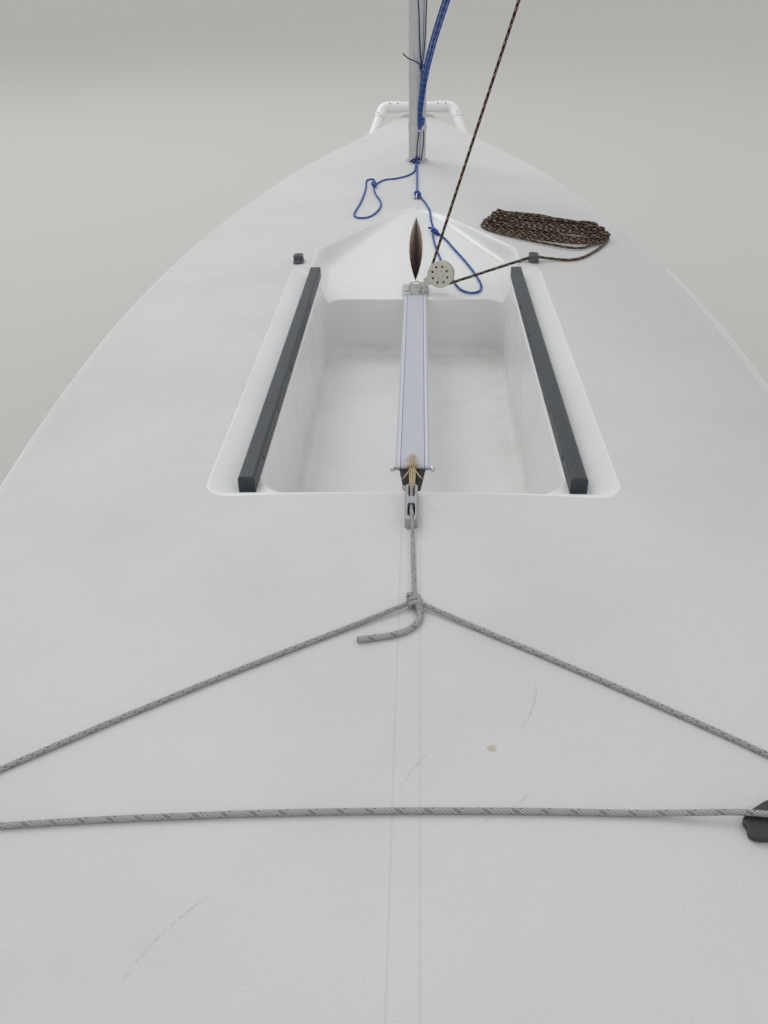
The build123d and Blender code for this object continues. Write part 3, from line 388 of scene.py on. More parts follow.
def distance(where, spot):
    return wire(where.tree, "ShaderNodeVectorMath", {0: where, 1: tuple(spot)}, "Value", operation="DISTANCE")


def axes(where):
    made = where.tree.nodes.new("ShaderNodeSeparateXYZ")
    feed(where.tree, made.inputs[0], where)
    return [Signal(where.tree, socket) for socket in made.outputs]


# a node group whose outputs are what fill gives for its inputs
def nodeGroup(name, inputs, fill):
    group = bpy.data.node_groups.new(name, "ShaderNodeTree")
    for label, value in inputs.items():
        kind = "NodeSocketVector" if isinstance(value, tuple) else "NodeSocketFloat"
        group.interface.new_socket(name=label, in_out="INPUT", socket_type=kind).default_value = value
    given = group.nodes.new("NodeGroupInput").outputs
    results = fill(group, {label: Signal(group, given[label]) for label in inputs})
    for label in results:
        group.interface.new_socket(name=label, in_out="OUTPUT", socket_type="NodeSocketFloat")
    out = group.nodes.new("NodeGroupOutput").inputs
    for label, result in results.items():
        feed(group, out[label], result)
    return group


def useGroup(tree, group, inputs=None):
    made = tree.nodes.new("ShaderNodeGroup")
    made.node_tree = group
    for key, value in (inputs or {}).items():
        feed(tree, made.inputs[key], value)
    return {socket.name: Signal(tree, socket) for socket in made.outputs}


# Shared effects


# uneven grime that gathers in patches
def fillGrime(tree, given):
    moved = wire(tree, "ShaderNodeVectorMath", {0: objectPlace(tree), 1: given["Shift"]}, operation="ADD")
    low = 1.0 - given["Cover"]
    return {"Mask": ramp(noise(moved, given["Scale"], 6.0, 0.62), low, low + given["Softness"])}


# worn or lighter edges, from how far a rounded edge turns away from the face
def fillEdgeWear(tree, given):
    softened = wire(tree, "ShaderNodeBevel", {"Radius": given["Width"]}, samples=4)
    sharp = wire(tree, "ShaderNodeNewGeometry", output="Normal")
    same = wire(tree, "ShaderNodeVectorMath", {0: softened, 1: sharp}, "Value", operation="DOT_PRODUCT")
    broken = noise(objectPlace(tree), given["Breakup"], 4.0, 0.6)
    ragged = ramp(same, 0.99, 0.86) * ramp(broken, 0.4, 0.62)
    return {"Mask": maths("MULTIPLY", ragged, given["Amount"], clamp=True)}


# plaited cover of a rope: carriers run both ways round and pass over and under
def fillBraid(tree, given):
    along, around = axes(wire(tree, "ShaderNodeUVMap", uv_map="ropeUv"))[:2]
    run = along / given["Pitch"]
    spirals = [(run + around) * given["Carriers"], (run - around) * given["Carriers"]]
    bumps = [maths("SINE", maths("FRACT", spiral) * math.pi) for spiral in spirals]
    cells = [maths("FLOOR", spiral) for spiral in spirals]
    over = maths("PINGPONG", cells[0] + cells[1], 1.0)
    heights = [maths("POWER", here, 0.6) * (crossing * 0.35 + 0.65) for here, crossing in (bumps, bumps[::-1])]
    first, second = [maths("FLOORED_MODULO", cell, given["Carriers"]) for cell in cells]
    return {
        "Height": heights[1] * over + heights[0] * (1.0 - over),
        "Carrier": first * (1.0 - over) + (second + given["Carriers"]) * over,
        "Fray": noise(objectPlace(tree), 2200.0, 2.0),
    }


# threads of cloth, crossing at a set number a metre
def fillWeave(tree, given):
    across, along = axes(given["Where"])[:2]
    warp = maths("SINE", across * given["Across"] * math.tau)
    weft = maths("SINE", along * given["Along"] * math.tau)
    threads = noise(stretched(given["Where"], (40.0, 900.0, 40.0)), 1.0, 2.0)
    return {"Height": warp * weft * 0.5 + 0.5, "Thread": threads}


# fine straight marks, along one direction of the object
def fillScratches(tree, given):
    lines = noise(stretched(objectPlace(tree), given["Stretch"]), 1.0, 5.0, 0.7)
    low = 1.0 - given["Cover"]
    return {"Mask": ramp(lines, low, low + 0.06), "Height": lines}


# soft lumps of moulded plastic, rubber or foam
def fillMoulded(tree, given):
    fine = noise(objectPlace(tree), given["Scale"], 3.0, 0.6)
    coarse = noise(objectPlace(tree), given["Coarse"], 3.0, 0.5)
    return {"Height": coarse * 0.4 + fine, "Shade": coarse}


deckMarks = {
    "rimHalf": 312.0, "rimAft": 874.0, "rimFront": 2050.0, "rimCorner": 42.0, "smoothBand": 3.0,
    "rampNose": (82.0, 2540.0), "rampTip": 2652.0, "rampShoulder": (268.0, 2205.0),
    "edgeBand": 24.0, "halfBeam": 693.0, "widest": 1620.0, "quarterRadius": 7894.6, "quarterFront": 2120.0,
    "mouldLine": 13.0, "mouldLineFront": 805.0,
    "wellHalf": 237.0, "wellAft": 905.0, "wellFront": 1990.0, "wellCorner": 45.0,
    "slotMiddle": 2325.0, "slotReach": 232.0, "slotHalf": 19.6, "slotTip": (2498.0, 2522.0),
}


# where the deck is gripped, smooth, lined or deep, from the boat's own coordinates
def fillDeckZones(tree, given):
    marks = deckMarks
    x, y, z = axes(objectPlace(tree))
    across = maths("ABSOLUTE", x) * 1000.0
    station = (y - boatDatum["transom"]) * 1000.0
    height = (z - boatDatum["deck"]) * 1000.0

    def boxDistance(half, aft, front, corner):
        sideways = across - (half - corner)
        lengthways = maths("ABSOLUTE", station - (aft + front) / 2) - ((front - aft) / 2 - corner)
        both = [maths("MAXIMUM", value, 0.0) for value in (sideways, lengthways)]
        outside = maths("SQRT", both[0] * both[0] + both[1] * both[1])
        return outside + maths("MINIMUM", maths("MAXIMUM", sideways, lengthways), 0.0) - corner

    def lineDistance(a, b):
        run = Vector((b[0] - a[0], b[1] - a[1])).normalized()
        normal = Vector((run.y, -run.x)) * math.copysign(1, run.y)
        return across * normal.x + station * normal.y - normal.dot(Vector(a))

    shoulder = marks["rampShoulder"]
    rampLine = [(0.0, marks["rampTip"]), marks["rampNose"], shoulder, (shoulder[0], marks["rimAft"])]
    rampEdge = marks["wellFront"] - 60 - station
    for a, b in zip(rampLine, rampLine[1:]):
        rampEdge = maths("MAXIMUM", rampEdge, lineDistance(a, b))
    rim = boxDistance(marks["rimHalf"], marks["rimAft"], marks["rimFront"], marks["rimCorner"])
    smoothEdge = maths("MINIMUM", rim, rampEdge) - given["Band"]
    quarter = station - marks["widest"]
    bulge = quarter * quarter / (2 * marks["quarterRadius"])
    gunwale = marks["halfBeam"] - marks["edgeBand"] - (bulge + across)
    isAft = maths("LESS_THAN", station, marks["quarterFront"])
    facing = axes(wire(tree, "ShaderNodeNewGeometry", output="True Normal"))[2]
    upward = ramp(facing, 0.94, 0.975) * ramp(height, -70.0, -62.0)
    shade = ramp(smoothEdge, -1.5, 1.5) * upward
    gripEdge = maths("MAXIMUM", ramp(gunwale, -1.5, 1.5), 1.0 - isAft)
    border = ramp(maths("ABSOLUTE", smoothEdge), 2.4, 0.5)
    gunwaleLine = ramp(maths("ABSOLUTE", gunwale), 1.8, 0.4) * isAft
    line = ramp(maths("ABSOLUTE", across - marks["mouldLine"]), 1.5, 0.3)
    slotLength = maths("COMPARE", station, marks["slotMiddle"], marks["slotReach"])
    slot = maths("LESS_THAN", across, marks["slotHalf"]) * slotLength * ramp(facing, 0.5, 0.3)
    well = boxDistance(marks["wellHalf"], marks["wellAft"], marks["wellFront"], marks["wellCorner"])
    wellFront = ramp(station, marks["wellFront"] - 120, marks["wellFront"] - 30)
    wellSides = ramp(across, marks["wellHalf"] - 60, marks["wellHalf"] - 20, 0.0, 0.5)
    return {
        "Grip": shade * gripEdge,
        "Shade": shade,
        "Line": line * maths("LESS_THAN", station, marks["mouldLineFront"]),
        "Slot": slot,
        "SlotTip": slot * ramp(station, *marks["slotTip"]),
        "Well": ramp(well, 2.0, -2.0) * ramp(height, -185.0, -205.0),
        "WellEnds": maths("MAXIMUM", wellFront, wellSides),
        "Border": maths("MAXIMUM", border, gunwaleLine) * upward,
    }


grime = nodeGroup("grime", {"Scale": 6.0, "Cover": 0.4, "Softness": 0.2, "Shift": 0.0}, fillGrime)
edgeWear = nodeGroup("edgeWear", {"Width": 0.002, "Amount": 1.0, "Breakup": 60.0}, fillEdgeWear)
ropeBraid = nodeGroup("ropeBraid", {"Pitch": 0.04, "Carriers": 8.0}, fillBraid)
clothWeave = nodeGroup("clothWeave", {"Where": (0, 0, 0), "Across": 900.0, "Along": 900.0}, fillWeave)
fineScratches = nodeGroup("fineScratches", {"Stretch": (300.0, 6.0, 300.0), "Cover": 0.3}, fillScratches)
mouldedGrain = nodeGroup("mouldedGrain", {"Scale": 900.0, "Coarse": 60.0}, fillMoulded)
deckZones = nodeGroup("deckZones", {"Band": deckMarks["smoothBand"]}, fillDeckZones)
print("shared effects built")

# Materials

materials = {}


def newMaterial(name, colour, rough, metal=0.0, **plain):
    material = bpy.data.materials.new(name)
    material.use_nodes = True
    tree = material.node_tree
    shader = tree.nodes["Principled BSDF"]
    values = {"Base Color": colour, "Roughness": rough, "Metallic": metal, **plain}
    for label, value in values.items():
        feed(tree, shader.inputs[label.replace("_", " ")], value)
    materials[name] = material
    return tree, shader


def finished(shader, colour, height, rise, rough=None):
    tree = colour.tree
    feed(tree, shader.inputs["Base Color"], colour)
    if rough is not None:
        feed(tree, shader.inputs["Roughness"], rough)
    bump = wire(tree, "ShaderNodeBump", {"Height": height, "Distance": rise, "Strength": 1.0})
    feed(tree, shader.inputs["Normal"], bump)


def grimeMask(tree, scale, cover, softness, shift=0.0):
    wanted = {"Scale": scale, "Cover": cover, "Softness": softness, "Shift": shift}
    return useGroup(tree, grime, wanted)["Mask"]


gelcoatLook = {
    "smooth": (0.80, 0.805, 0.79), "grip": (0.655, 0.655, 0.64), "dirt": (0.36, 0.33, 0.27),
    "stain": (0.42, 0.36, 0.24), "stainSpot": (85, 360, 0),
    # the slot's colours are painted light: brown bounce light from the ground seen through the slot, paler streaks as
    # painted reflections, and a pale tip as painted light on its lit front wall
    "slotGroundBounce": (0.80, 0.60, 0.47), "slotBounceStreaks": (0.90, 0.74, 0.62), "slotLitTip": (0.90, 0.90, 0.88),
    "scuffs": [
        [(-223, 107), (-201, 149), (-165, 187)], [(-8, 291), (5, 329), (13, 342)], [(115, 387), (133, 425), (139, 465)],
        [(22, 838), (30, 828), (36, 814)], [(70, 268), (96, 282), (118, 306)],
    ],
    "gripRough": 0.62, "smoothRough": 0.2, "gripRise": 0.0004,
}


# a faint rubbed arc through three places on the deck
def scuffMark(where, spots):
    a, b, c = (spot.xy for spot in spots)
    toB, toC = b - a, c - a
    squares = toB.length_squared, toC.length_squared
    turned = Vector((toC.y * squares[0] - toB.y * squares[1], toB.x * squares[1] - toC.x * squares[0]))
    middle = a + turned / (2 * toB.cross(toC))
    reach = distance(where, (*middle, spots[1].z)) - (a - middle).length
    line = ramp(maths("ABSOLUTE", reach), 0.0022, 0.0004)
    half = toC.length / 2
    ends = ramp(distance(where, spots[1]), half * 1.15, half * 0.6)
    return line * ends * ramp(noise(where, 120.0, 4.0), 0.38, 0.6, 0.0, 0.34)


def makeGelcoat(look):
    tree, shader = newMaterial("gelcoat", look["smooth"], look["smoothRough"])
    zones = useGroup(tree, deckZones)
    where = objectPlace(tree)
    dirt, stain = look["dirt"], look["stain"]
    trodden = grimeMask(tree, 26.0, 0.42, 0.3) * zones["Grip"]
    specks = grimeMask(tree, 210.0, 0.27, 0.03, 3.0) * ramp(noise(where, 9.0, 2.0), 0.45, 0.7)
    scratches = useGroup(tree, fineScratches, {"Stretch": (7.0, 38.0, 7.0), "Cover": 0.31})["Mask"]
    # standing water leaves a brown tide at the front of the cockpit's floor
    tide = grimeMask(tree, 13.0, 0.56, 0.25, 7.0) * zones["Well"] * (zones["WellEnds"] * 0.26 + 0.06)
    spotEdge = noise(where, 160.0, 2.0) * 0.004 + distance(where, boat(*look["stainSpot"]))
    layers = [
        (zones["Shade"], look["grip"]),
        (ramp(noise(where, 2.2, 5.0, 0.6), 0.35, 0.75, 0.0, 0.16), dirt),
        (trodden * 0.1, dirt), (specks * 0.55, dirt), (scratches * 0.16, dirt),
        (zones["Line"] * 0.15, dirt), (zones["Border"] * 0.12, dirt),
        (tide, stain), (ramp(spotEdge, 0.0075, 0.0055, 0.0, 0.6), stain),
    ]
    layers += [(scuffMark(where, [boat(*spot, 0) for spot in arc]), dirt) for arc in look["scuffs"]]
    # painted light inside the daggerboard slot: its walls are coloured brown with vertical streaks for the ground seen
    # through it and its reflections, and its front tip pale for the lit front wall
    grainAndReflectionStreaks = noise(stretched(where, (40.0, 40.0, 5.0)), 3.0, 4.0)
    slotBounceColour = layered(look["slotGroundBounce"], (grainAndReflectionStreaks, look["slotBounceStreaks"]))
    layers += [(zones["Slot"], slotBounceColour), (zones["SlotTip"], look["slotLitTip"])]
    patchy = noise(where, 14.0, 3.0) * 0.16 + (look["smoothRough"] - 0.06)
    rough = zones["Grip"] * (look["gripRough"] - look["smoothRough"]) + patchy
    grains = wire(tree, "ShaderNodeTexVoronoi", {"Vector": where, "Scale": 330.0}, "Distance", feature="F1")
    grip = (noise(where, 900.0, 2.0) * 0.7 + grains) * zones["Grip"]
    lines = grip - (zones["Border"] * 0.5 + zones["Line"]) * 0.5
    orangePeel = noise(where, 40.0, 2.0) * 0.25 + lines
    finished(shader, layered(look["smooth"], *layers), orangePeel, look["gripRise"], rough)


makeGelcoat(gelcoatLook)

# colour, roughness, grain scale, grain height, worn edge colour, grime colour
plasticLooks = {
    "rail_plastic": ((0.019, 0.024, 0.032), 0.46, 700.0, 0.00012, (0.10, 0.115, 0.135), (0.09, 0.088, 0.08)),
    "cleat_plastic": ((0.070, 0.074, 0.082), 0.46, 700.0, 0.00010, (0.20, 0.21, 0.22), (0.20, 0.19, 0.17)),
    "collar_plastic": ((0.46, 0.465, 0.46), 0.42, 500.0, 0.00010, (0.60, 0.60, 0.59), (0.20, 0.19, 0.17)),
    "block_plastic": ((0.60, 0.575, 0.49), 0.38, 500.0, 0.00005, (0.72, 0.70, 0.63), (0.25, 0.22, 0.16)),
    "black_plastic": ((0.022, 0.024, 0.027), 0.42, 800.0, 0.00008, (0.13, 0.13, 0.13), (0.12, 0.115, 0.10)),
    "pipe_plastic": ((0.84, 0.85, 0.84), 0.24, 90.0, 0.00006, (0.74, 0.73, 0.70), (0.42, 0.37, 0.27)),
    "wheel_plastic": ((0.72, 0.72, 0.69), 0.5, 400.0, 0.00015, (0.80, 0.80, 0.78), (0.33, 0.29, 0.21)),
    "tyre": ((0.022, 0.022, 0.022), 0.78, 500.0, 0.0003, (0.10, 0.095, 0.085), (0.22, 0.19, 0.14)),
    "foam": ((0.15, 0.155, 0.165), 0.92, 1300.0, 0.0006, (0.25, 0.255, 0.26), (0.28, 0.25, 0.20)),
}
for lookName, (colour, rough, grainAndReflectionStreaks, rise, wornColour, dirtColour) in plasticLooks.items():
    tree, shader = newMaterial(lookName, colour, rough)
    grains = useGroup(tree, mouldedGrain, {"Scale": grainAndReflectionStreaks, "Coarse": 45.0})
    speckled = ramp(grains["Shade"], 0.3, 0.75, 0.0, 0.2)
    worn = useGroup(tree, edgeWear, {"Width": 0.0022, "Amount": 0.75, "Breakup": 120.0})["Mask"]
    dust = grimeMask(tree, 18.0, 0.47, 0.3, 2.0)
    shade = layered(colour, (speckled, wornColour), (worn, wornColour), (dust * 0.3, dirtColour))
    finished(shader, shade, grains["Height"], rise, dust * 0.22 + grains["Shade"] * 0.2 + (rough - 0.1))

# colour, dull colour, roughness, direction of the grain, height
metalLooks = {
    "stainless": ((0.66, 0.66, 0.65), (0.40, 0.39, 0.37), 0.16, (60.0, 400.0, 400.0), 0.00003),
    "cleat_alloy": ((0.42, 0.43, 0.44), (0.22, 0.225, 0.23), 0.36, (300.0, 60.0, 300.0), 0.00008),
    "spar_alloy": ((0.60, 0.61, 0.62), (0.36, 0.36, 0.37), 0.30, (260.0, 260.0, 5.0), 0.00005),
    "axle_steel": ((0.38, 0.375, 0.37), (0.20, 0.15, 0.11), 0.42, (8.0, 260.0, 260.0), 0.00008),
}
for lookName, (colour, dull, rough, stretch, rise) in metalLooks.items():
    tree, shader = newMaterial(lookName, colour, rough, 1.0)
    drawn = useGroup(tree, fineScratches, {"Stretch": stretch, "Cover": 0.42})
    tarnish = grimeMask(tree, 16.0, 0.52, 0.35, 5.0)
    shade = layered(colour, (tarnish * 0.55, dull), (drawn["Mask"] * 0.3, dull))
    finished(shader, shade, drawn["Height"], rise, tarnish * 0.28 + drawn["Height"] * 0.18 + (rough - 0.06))

# base colour, pitch in metres, carriers each way, carriers of another colour, height of the plait
ropeLooks = {
    "mainsheet_rope": (
        (0.010, 0.007, 0.006), 0.034, 8.0,
        {0: (0.50, 0.22, 0.075), 4: (0.55, 0.38, 0.22), 9: (0.74, 0.65, 0.52), 13: (0.20, 0.085, 0.035)}, 0.0010,
    ),
    "blue_rope": ((0.022, 0.10, 0.40), 0.034, 8.0, {1: (0.42, 0.50, 0.66), 12: (0.010, 0.022, 0.085)}, 0.0005),
    "dark_blue_rope": ((0.010, 0.030, 0.13), 0.03, 8.0, {2: (0.10, 0.16, 0.35)}, 0.0004),
    "grey_rope": ((0.52, 0.52, 0.505), 0.027, 6.0, {3: (0.30, 0.305, 0.31), 9: (0.30, 0.305, 0.31)}, 0.0016),
    "twine": ((0.55, 0.43, 0.27), 0.012, 4.0, {1: (0.66, 0.55, 0.38), 5: (0.66, 0.55, 0.38)}, 0.0004),
}
for lookName, (colour, pitch, carriers, marked, rise) in ropeLooks.items():
    tree, shader = newMaterial(lookName, colour, 0.82, Sheen_Weight=0.03)
    plait = useGroup(tree, ropeBraid, {"Pitch": pitch, "Carriers": carriers})
    layers = [(maths("COMPARE", plait["Carrier"], float(number), 0.25), shade) for number, shade in marked.items()]
    # painted shade: the braid's low places between its strands are darkened to a quarter of the rope's colour
    layers.append((ramp(plait["Height"], 0.55, 0.1, 0.0, 0.75), tuple(c * 0.25 for c in colour)))
    layers.append((grimeMask(tree, 60.0, 0.5, 0.3) * 0.1, (0.42, 0.38, 0.31)))
    finished(shader, layered(colour, *layers), plait["Fray"] * 0.12 + plait["Height"], rise)

# base colour, darker thread colour (also the painted shade in the weave's hollows), threads a metre across and along,
# thread height
clothLooks = {
    "sailcloth": ((0.84, 0.845, 0.835), (0.74, 0.75, 0.75), 420.0, 420.0, 0.00006),
    "sail_tape": ((0.78, 0.79, 0.79), (0.68, 0.69, 0.69), 420.0, 420.0, 0.00008),
    "strap_webbing": ((0.57, 0.57, 0.63), (0.44, 0.44, 0.52), 620.0, 240.0, 0.00025),
    "black_webbing": ((0.010, 0.010, 0.011), (0.028, 0.028, 0.028), 500.0, 260.0, 0.0003),
}
# the strap's upper layer is narrower, so a paler margin with a dark edge shows on each side
strapMargin = {"half": 0.029, "at": 0.0202, "pale": (0.66, 0.665, 0.69), "edge": (0.16, 0.17, 0.27)}
for lookName, (colour, threadAndHollowShade, across, along, rise) in clothLooks.items():
    tree, shader = newMaterial(lookName, colour, 0.7, Sheen_Weight=0.02)
    where = wire(tree, "ShaderNodeUVMap", uv_map="clothUv")
    threads = useGroup(tree, clothWeave, {"Where": where, "Across": across, "Along": along})
    layers = [
        (ramp(threads["Thread"], 0.35, 0.75, 0.0, 0.6), threadAndHollowShade),
        # painted shade in the hollows between the threads
        (ramp(threads["Height"], 0.35, 0.0, 0.0, 0.25), threadAndHollowShade),
        (grimeMask(tree, 5.0, 0.46, 0.35, 1.0) * 0.12, (0.45, 0.41, 0.33)),
    ]
    if lookName == "strap_webbing":
        margin = maths("ABSOLUTE", axes(where)[0] - strapMargin["half"])
        layers.append((ramp(margin, 0.0198, 0.0206, 0.0, 0.75), strapMargin["pale"]))
        layers.append((ramp(maths("ABSOLUTE", margin - strapMargin["at"]), 0.0009, 0.0004), strapMargin["edge"]))
    finished(shader, layered(colour, *layers), threads["Height"], rise)
newMaterial("clear_window", (0.80, 0.84, 0.86), 0.12, Alpha=0.55)
newMaterial("stitching", (0.20, 0.21, 0.30), 0.8)

nodeFinish = {
    "mast_collar": "collar_plastic", "sheet_cleat_port": "cleat_plastic", "sheet_cleat_starboard": "cleat_plastic",
}
slotOf = {p["node"]: p["material_slot"] for p in frame["record"]["subparts"]}
for nodeName, node in nodes.items():
    node.data.materials.clear()
    node.data.materials.append(materials[nodeFinish.get(nodeName, slotOf[nodeName])])
print("materials made")

# Free ropes: plan points as (x, station), with an extra height where there is a third value

sheetRope = {
    "diameter": 0.007,
    "rise": 3.9,
    "tail": [
        (320, 2086, 7.6), (340, 2092, 4.1), (362, 2101, 1.1), (388, 2101), (412, 2111), (438, 2137), (462, 2174),
        (482, 2212), (498.2, 2241.9),
    ],
    # one lap of the hank along its outside, and the same places along its core
    "outside": [
        (520, 2290), (543, 2345), (554, 2405), (543, 2452), (502, 2474), (444, 2492), (386, 2530), (330, 2568),
        (284, 2600), (246, 2598), (228, 2556), (205, 2488), (176, 2418), (186, 2372), (226, 2318), (290, 2263),
        (366, 2224), (412, 2226), (452, 2236), (490, 2262),
    ],
    "core": [
        (474, 2336), (492, 2350), (500, 2372), (492, 2396), (466, 2408), (430, 2416), (386, 2430), (342, 2448),
        (304, 2466), (276, 2470), (254, 2460), (248, 2442), (252, 2424), (268, 2410), (296, 2398), (334, 2384),
        (376, 2368), (412, 2354), (440, 2342), (460, 2336),
    ],
    # the first lap ends in a bight of its own, away from the others
    "bight": {16: (374, 2204), 17: (422, 2190), 18: (458, 2206), 19: (486, 2256)},
    "lapsIn": 5,
    # flaked turns on top, from one tip of the fan to the other: left end, right end, half width
    "fan": [
        ((190, 2400), (534, 2338), 27), ((200, 2440), (546, 2372), 30), ((216, 2490), (545, 2410), 32),
        ((232, 2534), (538, 2440), 30), ((252, 2572), (506, 2456), 26),
    ],
    "fanTurns": 6,
    "fanPhase": -0.85,
    "fanSquareness": 0.8,
    "turnPoints": 18,
    "strandGap": 7.1,
    "uneven": 2.2,
    "lapStray": 0.16,
    "endStray": (0.0, 0.045, 0.02),
    "seed": 12,
    # length and width of the sleeve on the rope's end
    "whipping": (0.018, 0.0078),
}


def hankPlan(look):
    chance = random.Random(look["seed"])
    plan = []
    outside, core = look["outside"], look["core"]
    count = len(outside)
    for lap in range(look["lapsIn"]):
        for k in range(count):
            share = (lap + k / count) / look["lapsIn"]
            far = look["bight"].get(k, outside[k]) if lap == 0 else outside[k]
            pitch = (Vector(outside[k]) - Vector(core[k])).length / look["lapsIn"]
            stray = look["lapStray"] * max(0.0, pitch - look["strandGap"]) if 0 < lap else 0.0
            spot = Vector(far).lerp(Vector(core[k]), share)
            plan.append(spot + Vector((chance.uniform(-stray, stray), chance.uniform(-stray, stray))))
    fan, turns = look["fan"], look["fanTurns"]
    steps = look["turnPoints"]
    for k in range(turns * steps):
        share = k / (turns * steps - 1) * (len(fan) - 1)
        lower = min(int(share), len(fan) - 2)
        part = share - lower
        left = Vector(fan[lower][0]).lerp(Vector(fan[lower + 1][0]), part)
        right = Vector(fan[lower][1]).lerp(Vector(fan[lower + 1][1]), part)
        half = fan[lower][2] * (1 - part) + fan[lower + 1][2] * part
        angle = math.tau * (k / steps) + look["fanPhase"]
        along = (right - left) / 2 * (1 + look["endStray"][k // steps % 3])
        side = Vector((-along.y, along.x)).normalized() * half
        wobble = look["uneven"] * chance.uniform(-1, 1)
        bulge = [math.copysign(abs(v) ** look["fanSquareness"], v) for v in (math.cos(angle), math.sin(angle))]
        plan.append((left + right) / 2 + along * bulge[0] + side * bulge[1] + Vector((wobble, wobble)))
    return plan


# each turn lies on the deck or on the turns that are already there
def settled(plan, startHeights, look):
    route = []
    below = []
    gap = look["strandGap"] / 1000
    for index, spot in enumerate(plan):
        if index < len(startHeights):
            route.append(onHull(spot[0], spot[1], look["rise"] + startHeights[index]))
        else:
            height = 0.0
            for step in (-0.5, -0.25, 0.0, 0.25, 0.5):
                other = plan[min(index + 1, len(plan) - 1)] if step > 0 else plan[index - 1]
                here = onHull(*Vector(spot).lerp(Vector(other), abs(step)), look["rise"])
                height = max(height, here.z)
                for a, b in below[:-3]:
                    if min(a.x, b.x) - gap > here.x or max(a.x, b.x) + gap < here.x:
                        continue
                    if min(a.y, b.y) - gap > here.y or max(a.y, b.y) + gap < here.y:
                        continue
                    run, back = (b - a).xy, (here - a).xy
                    share = min(1.0, max(0.0, back.dot(run) / max(run.length_squared, 1e-12)))
                    close = (back - run * share).length
                    if close < gap:
                        height = max(height, a.z + (b.z - a.z) * share + math.sqrt(gap * gap - close * close))
            route.append(Vector((*boat(*spot, 0).xy, height)))
        if index:
            below.append((route[-2], route[-1]))
    return route


# a short sleeve on the line's last stretch
def whipping(name, line, length, diameter):
    step = 0.002
    spots = evenly(line[::-1], step)[0]
    keep = [spot for i, spot in enumerate(spots) if i * step <= length]
    return ropeTube(name, keep, diameter, materials["black_plastic"], step, 14)


tailPoints = [Vector(p[:2]) for p in sheetRope["tail"]]
tailHeights = [p[2] if len(p) > 2 else 0 for p in sheetRope["tail"]]
sheetRoute = settled(tailPoints + hankPlan(sheetRope), tailHeights, sheetRope)
sheetLine = nurbsLine(sheetRoute, 8)
mainsheetHank = ropeTube("mainsheet_hank", sheetLine, sheetRope["diameter"], materials["mainsheet_rope"], 0.005)
carried(mainsheetHank, "boat")
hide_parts("sheet_tail", "sheet_hank")
sheetEnd = carried(whipping("mainsheet_whipping", sheetLine, *sheetRope["whipping"]), "boat")
print("mainsheet hank", round(lengthOf(sheetLine), 2), "m")


# a line through plan points that follows the deck's surface
def laid(plan, rise):
    flat = nurbsLine([Vector((p[0], p[1], p[2] if len(p) > 2 else 0.0)) for p in plan], 10)
    spots = evenly(flat, 6.0)[0]
    around = ((0, 0), (2.5, 0), (-2.5, 0), (0, 2.5), (0, -2.5))
    heights = [max(onHull(p.x + dx, p.y + dy).z for dx, dy in around) + (rise + p.z) / 1000 for p in spots]
    for _ in range(3):
        raised = [max(b, (a + c) / 2) for a, b, c in zip(heights, heights[1:], heights[2:])]
        heights = [heights[0]] + raised + [heights[-1]]
    return [Vector((*boat(p.x, p.y, 0).xy, height)) for p, height in zip(spots, heights)]


controlLines = {
    "diameter": 0.0055,
    "rise": 3.15,
    "port": [
        (-4, 3304), (-6, 3250), (-5, 3194), (-13, 3140), (-30, 3096), (-54, 3064), (-80, 3044), (-103, 3043),
        (-119, 3024), (-130, 2998), (-135, 2976), (-145, 2968), (-156, 2977), (-153, 3002), (-146, 3030),
        (-149, 3049), (-160, 3057), (-171, 3049), (-175, 3030), (-174, 2996), (-171.5, 2940), (-171, 2874),
        (-172.5, 2804), (-175.5, 2736), (-180, 2668), (-186, 2606), (-190, 2550), (-179, 2514), (-158, 2503),
        (-137, 2520), (-124, 2560), (-112, 2618), (-110, 2680), (-118, 2740), (-131, 2798), (-140, 2860),
        (-145, 2922),
    ],
    "starboard": [
        (12, 2772), (17, 2740), (29, 2680), (37, 2612, 1), (41, 2576, 3.4), (44, 2530, 0.3), (47, 2480), (56, 2434),
        (71, 2398), (88, 2362), (102, 2312), (121, 2256), (138, 2204), (153, 2150), (165, 2100), (172, 2056),
        (167, 2022), (147, 2010), (125, 2019), (109, 2047), (97, 2094), (84, 2148), (72, 2204), (63, 2258),
        (56, 2312), (50.5, 2362), (48, 2406),
    ],
    "knotLift": 7.5,
    # middle of each knot, where it points, its length and width
    "knots": {
        "port": ((-143, 2945), (-146, 2985), (0.052, 0.019)),
        "starboard": ((53, 2421), (66, 2398), (0.046, 0.018)),
    },
}
for side in ("port", "starboard"):
    line = nurbsLine(laid(controlLines[side], controlLines["rise"]), 3)
    rope = ropeTube(f"control_rope_{side}", line, controlLines["diameter"], materials["blue_rope"])
    carried(rope, "boat")
    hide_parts(f"control_line_{side}")
    middle, toward, size = controlLines["knots"][side]
    centre = onHull(*middle, controlLines["knotLift"])
    heading = onHull(*toward, controlLines["knotLift"]) - centre
    tied = knot(centre, heading, size, controlLines["diameter"], "blue_rope", name=f"control_knot_{side}")
    carried(tied, "boat")
    print("control line", side, round(lengthOf(line), 3), "m")

# Ropes that something holds taut


# a straight run that bends only where the deck is in its way
def tautOverDeck(a, b, steps, rise):
    points = [a.lerp(b, k / steps) for k in range(steps + 1)]
    for spot in points:
        deck = hullTree.ray_cast(Vector((spot.x, spot.y, 1.2)), downward)[0]
        if deck is not None:
            spot.z = max(spot.z, deck.z + rise / 1000)
    return points


